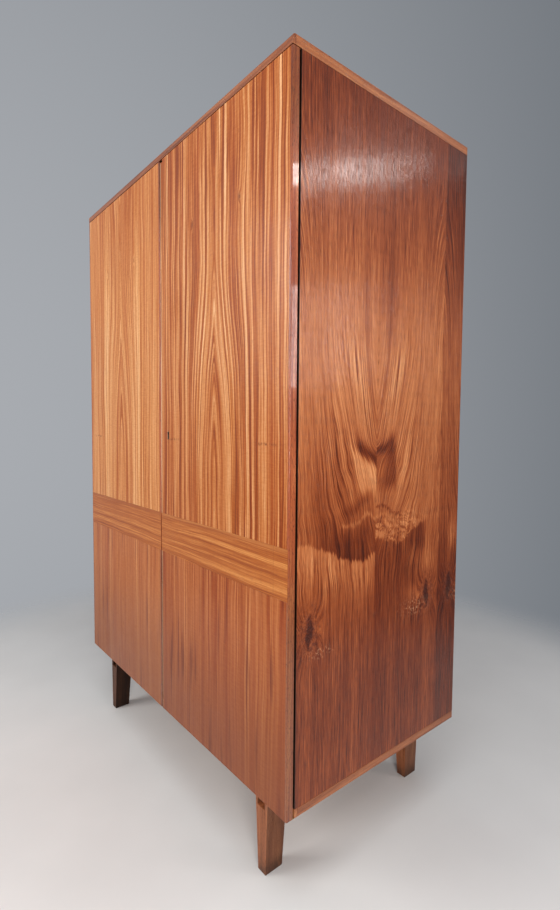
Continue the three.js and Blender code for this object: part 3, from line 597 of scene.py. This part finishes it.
print("knots", KNOT[0], "m out from the joint, on both leaves,", KNOT[1], "m up")

# %% [markdown]
# ## The sides put together
#
# How light the wood is at each place is now a sum: clouds, lines, fibres, figure and knots, with a slow
# change of tone from top to bottom. Everything stays one number up to the last step, which keeps every
# mark in the same family of browns. Mixing colours mark by mark would soon drift out of that family.

# %% Value of the sides
SIDE_TONES = ((1.12, 0.26, 0.25), (0.36, 0.26, -0.12), (1.72, 0.20, -0.21), (0.80, 0.10, 0.08))


def side_leaves(r, y):
    """How far out from the joint a point is, and one mask for each leaf."""
    leaf = r.calc("PINGPONG", r.less(y, SIDE_JOINT), LEAF_WIDTH)
    front_leaf = r.ramp(y, SIDE_JOINT - 0.0004, SIDE_JOINT + 0.0004, 1.0, 0.0)
    back_leaf = r.ramp(y, SIDE_JOINT + LEAF_WIDTH - 0.0004, SIDE_JOINT + LEAF_WIDTH + 0.0004)
    return leaf, front_leaf, r.less(r.less(1.0, front_leaf), back_leaf), back_leaf


def side_value(r, leaf, z, masks, grain, which, tug, lines, threads):
    front_leaf, middle_leaf, back_leaf = masks
    frayed = r.less(r.noise(r.times(grain, 240.0), r.times(z, 9.0), 5.0, detail=1.0), 0.5)
    out, up = r.add(leaf, r.times(tug, 0.012)), r.add(z, r.times(frayed, 0.030), r.times(tug, 0.020))
    glint = r.times(r.patch(leaf, z, (0.185, 0.715), (0.016, 0.045)), r.times(back_leaf, 0.30))
    figure = r.add(r.times(front_figure(r, out, up), front_leaf),
                   r.times(middle_figure(r, out, up), middle_leaf), glint)
    broad = r.noise(r.times(grain, 26.0), r.times(z, 0.7), which, detail=2.0)
    value = r.add(0.41, r.times(r.less(broad, 0.5), 0.42), r.times(r.less(lines, 0.5), 0.40),
                  side_fibres(r, leaf, z, grain, which, threads), figure, r.times(back_leaf, -0.14),
                  knot_marks(r, leaf, z, tug))
    for height, reach, amount in SIDE_TONES:
        value = r.add(value, r.times(r.bell(z, height, reach), amount))
    return value


print("slow changes of tone up the sides:", len(SIDE_TONES))

# %% [markdown]
# ## Colours, pores and edges of the sides
#
# The number becomes a brown, pale flecks cross the wood near the knots, and pores are let into the
# lacquer. A veneered panel also shows where it was made: a hair of glue in each joint, a plain rear edge
# and a paler inner face. The front edge, deep in the gap behind the doors, is painted nearly black as
# painted shade. These come last, as they'd come last in the workshop.

# %% Veneer of the sides
SIDE_INSIDE = abs(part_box("right_side_panel")[0].x) + 0.0015
CASE_FRONT, CASE_REAR = (corner.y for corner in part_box("right_side_panel"))


def plain_edges(r, colour, x, y, lines):
    """The joints' glue, a nearly black front edge (painted shade), the brown rear edge and the paler inner
    face.
    """
    seam = r.add(r.bell(y, SIDE_JOINT, 0.0004), r.bell(y, SIDE_JOINT + LEAF_WIDTH, 0.0004))
    colour = r.mix(r.times(seam, 0.5), colour, tone("46200f"))
    # The case's front edge, in the gap behind the doors, is painted nearly black: painted shade.
    front_edge_painted_shade = r.ramp(y, CASE_FRONT + 0.0004, CASE_FRONT + 0.002, 1.0, 0.0)
    colour = r.mix(front_edge_painted_shade, colour, tone("1c0f09"))
    rear_edge = r.ramp(y, CASE_REAR - 0.002, CASE_REAR - 0.0004)
    colour = r.mix(rear_edge, colour, tone("7a4728"))
    inside = r.ramp(r.calc("ABSOLUTE", x), SIDE_INSIDE, SIDE_INSIDE + 0.0005, 1.0, 0.0)
    return r.mix(inside, colour, r.colours(lines, (0.35, tone("a4744a")), (0.65, tone("bd8d60"))))


def side_veneer():
    r = Recipe("figured_veneer", Specular_IOR_Level=0.18, Coat_Weight=0.36, Coat_Roughness=0.13)
    x, y, z = r.place()
    leaf, *masks = side_leaves(r, y)
    front_leaf, back_leaf = masks[0], masks[2]
    which = r.add(r.times(front_leaf, 0.11), r.times(back_leaf, 0.23))
    bend = r.noise(r.times(leaf, 11.0), r.times(z, 7.0), which, detail=2.0)
    tug = r.less(r.noise(r.times(leaf, 48.0), r.times(z, 13.0), 5.0, detail=3.0), 0.5)
    grain = throat_field(r, leaf, z, bend)
    lines = r.noise(r.times(grain, 260.0), r.times(z, 2.0), r.add(which, 2.0), detail=2.0, roughness=0.6)
    threads = r.noise(r.times(grain, 760.0), r.times(z, 8.0), r.add(which, 4.0), detail=2.0, roughness=0.6)
    value = side_value(r, leaf, z, masks, grain, which, tug, lines, threads)
    colour = r.colours(value, (0.00, tone("431707")), (0.24, tone("752f10")), (0.48, tone("a25229")),
                       (0.74, tone("cc7c49")), (1.0, tone("e9a26c")))
    fleck_band = r.add(r.times(r.patch(leaf, z, (0.168, 0.528), (0.036, 0.010)), front_leaf),
                       r.times(r.patch(leaf, z, (0.150, 0.556), (0.045, 0.020)), r.less(1.0, front_leaf)))
    specks = r.noise(r.times(y, 210.0), r.times(z, 150.0), 6.0, detail=2.0)
    flecks = r.times(fleck_band, r.ramp(specks, 0.55, 0.62))
    colour = r.mix(r.times(flecks, 0.60), colour, tone("dba37c"))
    pore_mask = r.ramp(r.noise(r.times(grain, 1300.0), r.times(z, 45.0), 3.0, detail=1.0), 0.55, 0.68)
    colour = r.mix(r.times(pore_mask, 0.38), colour, tone("3f1b0e"))
    r.set("Base Color", plain_edges(r, colour, x, y, lines))
    smear = r.noise(r.times(y, 6.0), r.times(z, 3.5), 1.0, detail=3.0)
    r.set("Roughness", r.add(r.ramp(smear, 0.3, 0.7, 0.32, 0.46), r.times(pore_mask, 0.16)))
    r.bump(r.add(r.times(pore_mask, -1.0), r.times(threads, 0.8)), 0.00026, 0.75)
    return r.material


figured = side_veneer()
print("side veneer:", len(figured.node_tree.nodes), "nodes")

# %% [markdown]
# ## Plain timber
#
# The lippings, legs, shelves and rails are cut from plain boards, so they share one recipe with a colour
# chart each. The grain runs along the piece: noise is stretched that way, and short dark pores lie in it.
# The handled edges and the feet have been knocked and mopped, so a patch of wear can be asked for by
# height. One recipe is worth the extra settings, because the woods then age in the same way.

# %% Plain timber
def timber(name, along, dark, mid, light, speckle, lines=150.0, foot_wear=0.0, side_stain=1.0,
           end_shade=1.0, **shader):
    r = Recipe(name, **shader)
    x, y, z = r.place()
    across, lengthways, depth = {"x": (y, x, z), "y": (x, y, z), "z": (x, z, y)}[along]
    sway = r.times(r.noise(r.times(across, 5.0), r.times(lengthways, 2.0), depth), 0.03)
    a, d = r.add(across, sway), r.add(depth, sway)
    broad = r.noise(r.times(a, 28.0), r.times(lengthways, 1.2), r.times(d, 28.0), detail=2.0)
    rings = r.noise(r.times(a, lines), r.times(lengthways, 2.2), r.times(d, lines), detail=2.0)
    fine = r.noise(r.times(a, lines * 5), r.times(lengthways, 14.0), r.times(d, lines * 5), detail=1.0)
    value = r.add(r.times(broad, 0.38), r.times(rings, 0.40), r.times(fine, 0.22))
    colour = r.colours(value, (0.36, tone(dark)), (0.50, tone(mid)), (0.63, tone(light)))
    pores = r.noise(r.times(a, 1100.0), r.times(lengthways, 130.0), r.times(d, 1100.0), detail=1.0)
    pore_mask = r.ramp(pores, 0.56, 0.68)
    colour = r.mix(r.times(pore_mask, speckle), colour, tone("3a1c10"))
    chips = r.noise(r.times(x, 70.0), r.times(z, 40.0), r.times(y, 70.0))
    scuffed = r.times(r.ramp(z, 0.0, 0.045, 1.0, 0.0), foot_wear)
    scuffed = r.times(scuffed, r.ramp(chips, 0.3, 0.6, 0.5, 1.0))
    colour = r.mix(scuffed, colour, tone("3b2a22"))
    # Towards the foot and the head the colour is darkened: painted shade on the door lippings, whose middle
    # is lit.
    ends = r.times(r.ramp(z, 0.55, 0.85, end_shade, 1.0), r.ramp(z, 1.42, 1.62, 1.0, end_shade))
    colour = r.shade(colour, ends)
    # Faces that look along x are darkened by the given amount: painted shade on the legs' sides.
    facing = r.step("ShaderNodeSeparateXYZ", r.step("ShaderNodeNewGeometry", output=1))
    colour = r.shade(colour, r.ramp(r.calc("ABSOLUTE", facing), 0.3, 0.9, 1.0, side_stain))
    r.set("Base Color", colour)
    rough = shader["Roughness"]
    smear = r.noise(r.times(x, 9.0), r.times(y, 9.0), r.times(z, 9.0), detail=3.0)
    r.set("Roughness", r.add(r.ramp(smear, 0.3, 0.7, rough - 0.06, rough + 0.08), r.times(pore_mask, 0.12),
                             r.times(scuffed, 0.2)))
    r.bump(r.add(r.times(pore_mask, -0.7), r.times(fine, 0.6)), 0.00018, 0.5)
    return r.material


print("the timber recipe is ready, for grain along x, y or z")

# %% [markdown]
# ## A chart of timbers
#
# Each timber has a dark, a middle and a light tone, and says how open its pores are and how glossy it was
# left. The front left leg is drawn darker than its fellows, and the legs' side faces are darkened: both
# are painted shade. The door lippings darken towards their foot and head, painted shade, and the right
# door's meeting lipping is pale, a painted highlight on its rounded edge. A timber is made only when a
# piece first asks for it, with its grain along that piece, and is then shared. Making every timber in
# every direction would be simpler, and would leave half of them unused.

# %% Timbers of the wardrobe
TIMBERS = {
    "shelf_board": dict(dark="96683f", mid="ae7d52", light="c2946a", speckle=0.2, Roughness=0.48),
    "edge_strip": dict(dark="7d4022", mid="a3603a", light="bb7a4c", speckle=0.45, Roughness=0.36,
                       Specular_IOR_Level=0.3, Coat_Weight=0.3, Coat_Roughness=0.15),
    "top_strip": dict(dark="66321a", mid="935332", light="b5734b", speckle=0.45, Roughness=0.34,
                      Specular_IOR_Level=0.3, Coat_Weight=0.3, Coat_Roughness=0.15),
    "door_strip": dict(dark="86361b", mid="b25931", light="d8864f", speckle=0.6, lines=320.0, end_shade=0.50,
                       Roughness=0.34, Specular_IOR_Level=0.3, Coat_Weight=0.65, Coat_Roughness=0.05),
    # Pale tones for the right door's meeting lipping: a painted highlight along its rounded edge.
    "meeting_strip_painted_highlight": dict(dark="b77b52", mid="d39c72", light="e6bb98", speckle=0.3, lines=320.0,
                          end_shade=0.50, Roughness=0.3),
    "stained_leg": dict(dark="743e20", mid="9a5b38", light="b5754d", speckle=0.4, lines=110.0,
                        foot_wear=0.75, side_stain=0.52, Roughness=0.44, Specular_IOR_Level=0.3),
    # A darker copy of the leg timber, for the front left leg: painted shade.
    "painted_shade_leg": dict(dark="3a2014", mid="54311f", light="74492f", speckle=0.4, lines=110.0,
                     foot_wear=0.5, side_stain=0.28, Roughness=0.46, Specular_IOR_Level=0.2),
}
made_timbers = {}


def timber_for(kind, axis):
    """One timber with its grain along an axis; each is made once and then shared."""
    if (kind, axis) not in made_timbers:
        made_timbers[kind, axis] = timber(f"{kind}_{axis}", axis, **TIMBERS[kind])
    return made_timbers[kind, axis]


print("kinds of timber:", ", ".join(TIMBERS))

# %% [markdown]
# ## The cross bands
#
# A band of veneer runs across both doors, with its grain lying level. It breaks the long upright stripes
# and marks where the upper sheets end. The recipe is the ribbon's again, turned on its side: the height
# is now the way across the tree, and the lines are drawn out along the width.

# %% Veneer of the cross bands
def band_veneer():
    """Its grain runs across the doors; a thin dark line and a paler border edge it."""
    r = Recipe("cross_band_veneer", Specular_IOR_Level=0.22, Coat_Weight=0.24, Coat_Roughness=0.14)
    x, y, z = r.place()
    sheet = r.calc("SIGN", x)
    level = r.add(z, r.times(r.noise(r.times(x, 3.0), r.times(z, 9.0), sheet), 0.012))
    broad = r.noise(r.times(level, 70.0), r.times(x, 0.9), sheet, detail=2.0)
    lines = r.noise(r.times(level, 290.0), r.times(x, 1.8), r.add(sheet, 3.0), detail=2.0, roughness=0.6)
    fine = r.noise(r.times(level, 900.0), r.times(x, 14.0), sheet, detail=1.0)
    value = r.add(r.times(broad, 0.36), r.times(lines, 0.42), r.times(fine, 0.22))
    colour = r.colours(value, (0.36, tone("853a0e")), (0.49, tone("b05f24")), (0.63, tone("d98f4b")))
    upper_edge = r.ramp(z, BAND_HEAD - 0.016, BAND_HEAD - 0.004)
    colour = r.mix(r.times(upper_edge, 0.35), colour, tone("97502a"))
    joint = r.bell(r.calc("ABSOLUTE", x), 0.498, 0.0005)
    pores = r.noise(r.times(level, 1300.0), r.times(x, 60.0), 2.0, detail=1.0)
    pore_mask = r.ramp(pores, 0.57, 0.69)
    colour = r.mix(r.add(r.times(pore_mask, 0.32), r.times(joint, 0.5)), colour, tone("6d3418"))
    r.set("Base Color", colour)
    r.set("Roughness", r.add(0.33, r.times(r.noise(r.times(x, 7.0), r.times(z, 7.0), 1.0), 0.10)))
    r.bump(r.add(r.times(pore_mask, -0.7), r.times(fine, 0.5)), 0.00014, 0.45)
    return r.material


band_wood = band_veneer()
print("cross band:", round((BAND_HEAD - BAND_FOOT) * 1000), "mm tall")

# %% [markdown]
# ## Brass and steel
#
# The hinges and bolts are brass that has dulled, and the lock's case is plain steel. Bare metal is never
# even: fine scratches follow the file, and old polish leaves brown in the hollows. The scratches go into
# the roughness and the bump, and the tarnish goes into the colour.

# %% Metals
def metal(name, bright, dull, rough):
    r = Recipe(name, Metallic=1.0)
    x, y, z = r.place()
    cloud = r.noise(r.times(x, 90.0), r.times(y, 90.0), r.times(z, 90.0), detail=4.0)
    scratch = r.noise(r.times(x, 900.0), r.times(z, 60.0), r.times(y, 900.0), detail=2.0)
    tarnish = r.ramp(cloud, 0.42, 0.66)
    r.set("Base Color", r.mix(tarnish, tone(bright), tone(dull)))
    r.set("Roughness", r.add(rough, r.times(tarnish, 0.22), r.times(scratch, 0.12)))
    r.bump(r.add(scratch, r.times(cloud, 0.6)), 0.00008, 0.4)
    return r.material


brass = metal("aged_brass", "b9965a", "75552c", 0.20)
steel = metal("lock_steel", "8d8a85", "4d463f", 0.24)
print("metals:", brass.name, steel.name)

# %% [markdown]
# ## Dressing the joinery
#
# Every solid now gets its finish, chosen by its name and by the way it runs. A solid straight from the
# workshop has edges sharp enough to cut, and they'd show as hard lines. So each wooden piece also gets
# two modifiers: Weld joins its split corners, and Bevel eases the edges by a fraction of a millimetre.
# Modifiers leave the solid itself unchanged, which an edited mesh wouldn't.

# %% Finish for each piece
BRASS_PIECES = ("hinge_plate", "hinge_leaf", "edge_bolt", "lock_bolt", "lock_strike")


def length_axis(name):
    low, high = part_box(name)
    return "xyz"[max(range(3), key=lambda i: (high - low)[i])]


def finish_for(name):
    axis = length_axis(name)
    if any(word in name for word in BRASS_PIECES):
        return brass
    if name in ("lock_case", "keyhole_liner"):
        return steel
    if name.endswith("side_panel"):
        return figured
    if name.endswith("door_panel"):
        return ribbon
    if name.endswith("cross_band"):
        return band_wood
    # Pale meeting lipping: a painted highlight on the right door's rounded edge.
    if name == "right_door_meeting_lipping":
        return timber_for("meeting_strip_painted_highlight", axis)
    if name.endswith(("hinge_lipping", "meeting_lipping")):
        return timber_for("door_strip", axis)
    if name == "top_front_lipping":
        return timber_for("top_strip", axis)
    if name.endswith("lipping") or name == "top_board":
        return timber_for("edge_strip", axis)
    # The front left leg gets the darker copy: painted shade.
    if name == "front_left_leg":
        return timber_for("painted_shade_leg", axis)
    if name.endswith(("_leg", "frame_rail", "cross_rail")):
        return timber_for("stained_leg", axis)
    return timber_for("shelf_board", axis)


def ease_edges(piece, width):
    weld = piece.modifiers.new("join corners", "WELD")
    weld.merge_threshold = 0.00002
    bevel = piece.modifiers.new("eased edges", "BEVEL")
    bevel.width, bevel.segments, bevel.limit_method = width, 2, "ANGLE"
    bevel.angle_limit = math.radians(40)


for name, piece in node.items():
    finish = finish_for(name)
    piece.data.materials.clear()
    piece.data.materials.append(finish)
    if finish not in (brass, steel):
        ease_edges(piece, 0.0012 if name.endswith(("_leg", "lipping")) else 0.0005)
print("dressed", len(node), "pieces, with", len(made_timbers), "timbers")

# %% [markdown]
# ## Screws
#
# Slotted screws hold the hinges, the lock, the shelf bearers and the back. One head is turned as a low
# dome and its slot is pressed in by pushing a strip of its faces down. Every screw then shares that one
# mesh, so nearly eighty of them cost no more memory than one. A boolean cut would also make the slot, but the
# strip needs no second object.

# %% One slotted head
HEAD_SIDES = 20


def slotted_head(name, radius, height, slot_width, finish):
    """A domed head standing on z = 0, with its slot along x."""
    build = bmesh.new()
    profile = [(radius, 0.0), (radius, height * 0.35), (radius * 0.86, height * 0.78), (radius * 0.5, height)]
    turn = [2 * math.pi * k / HEAD_SIDES for k in range(HEAD_SIDES)]
    rings = []
    for reach, level in profile:
        rings.append([build.verts.new((reach * math.cos(a), reach * math.sin(a), level)) for a in turn])
    for outer, inner in zip(rings, rings[1:]):
        for k in range(HEAD_SIDES):
            after = (k + 1) % HEAD_SIDES
            build.faces.new((outer[k], outer[after], inner[after], inner[k]))
    build.faces.new(rings[-1])
    for side in (-1, 1):
        parts = build.verts[:] + build.edges[:] + build.faces[:]
        bmesh.ops.bisect_plane(build, geom=parts, plane_co=(0, side * slot_width / 2, 0), plane_no=(0, 1, 0))
    strip = [f for f in build.faces
             if abs(f.calc_center_median().y) < slot_width / 2 and f.calc_center_median().z > height * 0.3]
    pushed = bmesh.ops.extrude_face_region(build, geom=strip)
    sunk = [v for v in pushed["geom"] if isinstance(v, bmesh.types.BMVert)]
    for vert in sunk:
        vert.co.z = height * 0.25
    bmesh.ops.delete(build, geom=[f for f in strip if f.is_valid], context="FACES")
    bmesh.ops.recalc_face_normals(build, faces=build.faces[:])
    mesh = bpy.data.meshes.new(name)
    build.to_mesh(mesh)
    build.free()
    mesh.materials.append(finish)
    return mesh


brass_head = slotted_head("brass_screw_head", 0.0032, 0.0006, 0.0008, brass)
steel_head = slotted_head("steel_screw_head", 0.0036, 0.0014, 0.0010, steel)
print("faces in one head:", len(brass_head.polygons))

# %% [markdown]
# ## Driving a screw
#
# A screw stands on the outer face of the piece it holds, its slot turned by chance, as a hand driver
# leaves it. Screws in a door must travel with the door, so each one rides on the body of the piece it
# holds. Copying objects along a curve would be quicker, but it would not know which body moves.

# %% Driving a screw
FACING = {"+x": (90, "Y"), "-x": (-90, "Y"), "+y": (-90, "X"), "+z": (0, "X"), "-z": (180, "X")}
slot_turn = random.Random(7)
screws = []


def drive(owner, head, facing, spots):
    """Puts a screw at each spot, on the outside of a piece; it rides with that piece's body."""
    low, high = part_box(owner)
    axis, level = "xyz".index(facing[1]), (high if facing[0] == "+" else low)
    body = next(name for name, empty in frame["bodies"].items() if node[owner].parent == empty)
    for spot in spots:
        place = list(spot)
        place.insert(axis, level[axis])
        angle, about = FACING[facing]
        screw = bpy.data.objects.new(f"{owner}_screw_{len(screws)}", head)
        screw.matrix_world = (
            Matrix.Translation(place)
            @ Matrix.Rotation(math.radians(angle), 4, about)
            @ Matrix.Rotation(slot_turn.uniform(0, math.pi), 4, "Z")
        )
        bpy.context.scene.collection.objects.link(screw)
        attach(screw, body)
        screws.append(screw)


print("a screw can be driven into faces", ", ".join(FACING))

# %% [markdown]
# ## Where the screws go
#
# Rows of screws hold the hinges, the frame rails and the back. The shelf bearers and the rail blocks have
# two each, and the lock's case one in each corner. Nearly all are placed from the box of the piece that
# they hold, so they still sit right if it is remade a little larger. Typed places would have to be typed
# again.

# %% Where the screws go
PIN_X, PIN_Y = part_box("right_top_hinge_leaf")[1].x - 0.0055, middle("right_top_hinge_leaf").y
SCREW_STEP = 0.018
RAIL_SCREWS = (-0.16, 0.0, 0.16)
for side, sign in (("left", -1), ("right", 1)):
    along_door = [(sign * (PIN_X - SCREW_STEP * k), PIN_Y) for k in (1, 2, 3)]
    along_case = [(sign * PIN_X, PIN_Y + SCREW_STEP * k) for k in (2, 3)]
    drive(f"{side}_top_hinge_plate", brass_head, "-z", along_door)
    drive(f"{side}_top_hinge_leaf", brass_head, "+z", along_door)
    drive(f"{side}_foot_hinge_leaf", brass_head, "-z", along_door)
    drive(f"{side}_foot_hinge_plate", brass_head, "-z", along_case)
    rail_x = middle(f"{side}_frame_rail").x
    drive(f"{side}_frame_rail", steel_head, "-z", [(rail_x, y) for y in RAIL_SCREWS])

for name in node:
    if name.endswith("_bearer"):
        low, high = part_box(name)
        into_shelf = "+x" if (middle(name).x < -0.3 or 0 < middle(name).x < 0.2) else "-x"
        drive(name, steel_head, into_shelf, [(y, middle(name).z) for y in (low.y + 0.05, high.y - 0.05)])

for name, facing in (("inner_rail_block", "+x"), ("outer_rail_block", "-x")):
    low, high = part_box(name)
    drive(name, steel_head, facing, [(low.y + 0.011, high.z - 0.011), (high.y - 0.011, low.z + 0.011)])

low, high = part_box("lock_case")
corners = [(x, z) for x in (low.x + 0.006, high.x - 0.006) for z in (low.z + 0.007, high.z - 0.007)]
drive("lock_case", steel_head, "+y", corners)

EDGE_INSET, CORNER_INSET = 0.008, 0.03
low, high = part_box("back_panel")
up_edge = [low.z + CORNER_INSET + (high.z - low.z - 2 * CORNER_INSET) * k / 6 for k in range(7)]
along_edge = [low.x + (high.x - low.x) * k / 4 for k in (1, 2, 3)]
round_back = [(x, z) for x in (low.x + EDGE_INSET, high.x - EDGE_INSET) for z in up_edge]
round_back += [(x, z) for x in along_edge for z in (low.z + EDGE_INSET, high.z - EDGE_INSET)]
round_back += [(0.0, z) for z in up_edge[1:-1]]
drive("back_panel", steel_head, "+y", round_back)
print("screws driven:", len(screws))

# %% [markdown]
# ## The floor
#
# The wardrobe stands on a plain pale floor, which gives it a shadow and sends light up under the case.
# A real studio floor curves up into its backdrop. Here the sheet fades out instead, so no hard horizon
# shows behind the legs, and a faint cloud of dust keeps it from looking painted.

# %% Floor
FLOOR_REACH, FADE = 9.0, (1.32, 1.95)
floor_mesh = bpy.data.meshes.new("floor")
floor_mesh.from_pydata([(-FLOOR_REACH, -FLOOR_REACH, 0), (FLOOR_REACH, -FLOOR_REACH, 0),
                        (FLOOR_REACH, FLOOR_REACH, 0), (-FLOOR_REACH, FLOOR_REACH, 0)], [], [(0, 1, 2, 3)])
floor = bpy.data.objects.new("floor", floor_mesh)
bpy.context.scene.collection.objects.link(floor)


def floor_finish():
    r = Recipe("pale_floor", Roughness=0.6, Specular_IOR_Level=0.2)
    x, y, z = r.place()
    reach = r.calc("SQRT", r.add(r.times(x, x), r.times(y, y)))
    dust = r.noise(r.times(x, 3.0), r.times(y, 3.0), 0.0, detail=4.0)
    r.set("Base Color", r.colours(dust, (0.3, tone("d8d7d6")), (0.7, tone("dedddc"))))
    r.set("Alpha", r.ramp(reach, *FADE, 1.0, 0.0))
    return r.material


floor_mesh.materials.append(floor_finish())
floor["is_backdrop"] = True
print("floor sheet:", 2 * FLOOR_REACH, "m square, fading out", FADE, "m from the middle")

# %% [markdown]
# ## Soft studio light
#
# A broad softbox lights the doors from the left, and a tall one stands in front of the right-hand
# corner. Two more hang where the polished side mirrors them: a narrow strip makes the bright bar near
# the top, and a dim panel makes the haze by its front edge. Lacquer shows shape mainly through such
# reflections, so these two are placed by mirroring the line of sight in the side. One overhead light
# fills the floor. A picture of a real studio wrapped round the scene would also do, but five lamps can be
# understood and moved one at a time.

# %% Lights
def softbox(name, at, towards, width, height, watts, colour=(1, 1, 1)):
    lamp = bpy.data.lights.new(name, "AREA")
    lamp.shape, lamp.size, lamp.size_y, lamp.energy, lamp.color = "RECTANGLE", width, height, watts, colour
    rig = bpy.data.objects.new(name, lamp)
    rig.location = at
    rig.rotation_euler = (Vector(towards) - Vector(at)).to_track_quat("-Z", "Y").to_euler()
    bpy.context.scene.collection.objects.link(rig)
    return rig


lamps = [
    softbox("key", (-1.0, -2.6, 1.9), (0.1, -0.3, 1.25), 1.4, 1.2, 50, (1, 0.98, 0.95)),
    softbox("tall_front", (2.5, -1.5, 1.3), (0.5, -0.1, 0.95), 0.9, 1.5, 46, (1, 0.97, 0.94)),
    softbox("side_strip", (2.10, 1.38, 2.58), (0.545, -0.13, 1.54), 0.62, 0.12, 7, (1, 0.96, 0.93)),
    softbox("side_haze", (2.85, 1.86, 1.72), (0.545, -0.25, 1.18), 0.44, 0.80, 13, (1, 0.93, 0.91)),
    softbox("overhead", (1.2, -0.7, 3.4), (0.8, -0.5, 0.0), 2.2, 2.2, 47),
]
print("lamps:", ", ".join(f"{lamp.name} {lamp.data.energy:.0f} W" for lamp in lamps))

# %% [markdown]
# ## The backdrop
#
# A grey backdrop, paler on one side, closes the room, and the lacquer mirrors it as a soft sheen. It is a
# world shader that fades by direction. A real wall would need lamps of its own and would catch shadows.

# %% Backdrop
PALER_SIDE, DARKER_SIDE = -1.0, -0.1


def studio_backdrop():
    """A grey backdrop, lighter on the left-hand side than on the right."""
    world = bpy.data.worlds.new("studio")
    world.use_nodes = True
    tree = world.node_tree
    way = tree.nodes.new("ShaderNodeTexCoord")
    split = tree.nodes.new("ShaderNodeSeparateXYZ")
    fade = tree.nodes.new("ShaderNodeMapRange")
    blend = tree.nodes.new("ShaderNodeMix")
    blend.data_type = "RGBA"
    tree.links.new(way.outputs["Generated"], split.inputs[0])
    tree.links.new(split.outputs[0], fade.inputs["Value"])
    fade.inputs["From Min"].default_value = DARKER_SIDE
    fade.inputs["From Max"].default_value = PALER_SIDE
    tree.links.new(fade.outputs[0], blend.inputs["Factor"])
    blend.inputs[6].default_value = tone("60666d")
    blend.inputs[7].default_value = tone("a9acb1")
    tree.links.new(blend.outputs[2], tree.nodes["Background"].inputs[0])
    return world


bpy.context.scene.world = studio_backdrop()
bpy.context.scene.view_settings.view_transform = "Standard"
print("backdrop:", bpy.context.scene.world.name)

# %% [markdown]
# ## Measuring the finished piece
#
# Dressing a piece of furniture mustn't change its size. The box is measured once more and printed
# beside the first one; only the screw heads on the back stand out, by less than two millimetres.
# Looking at the picture would not show so small a slip, and two lines of measuring do.

dressed_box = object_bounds()
for axis in range(3):
    before, after = (box[1][axis] - box[0][axis] for box in (joinery_box, dressed_box))
    print("xyz"[axis], "side: joinery", round(before * 1000, 1), "mm, dressed", round(after * 1000, 1), "mm")
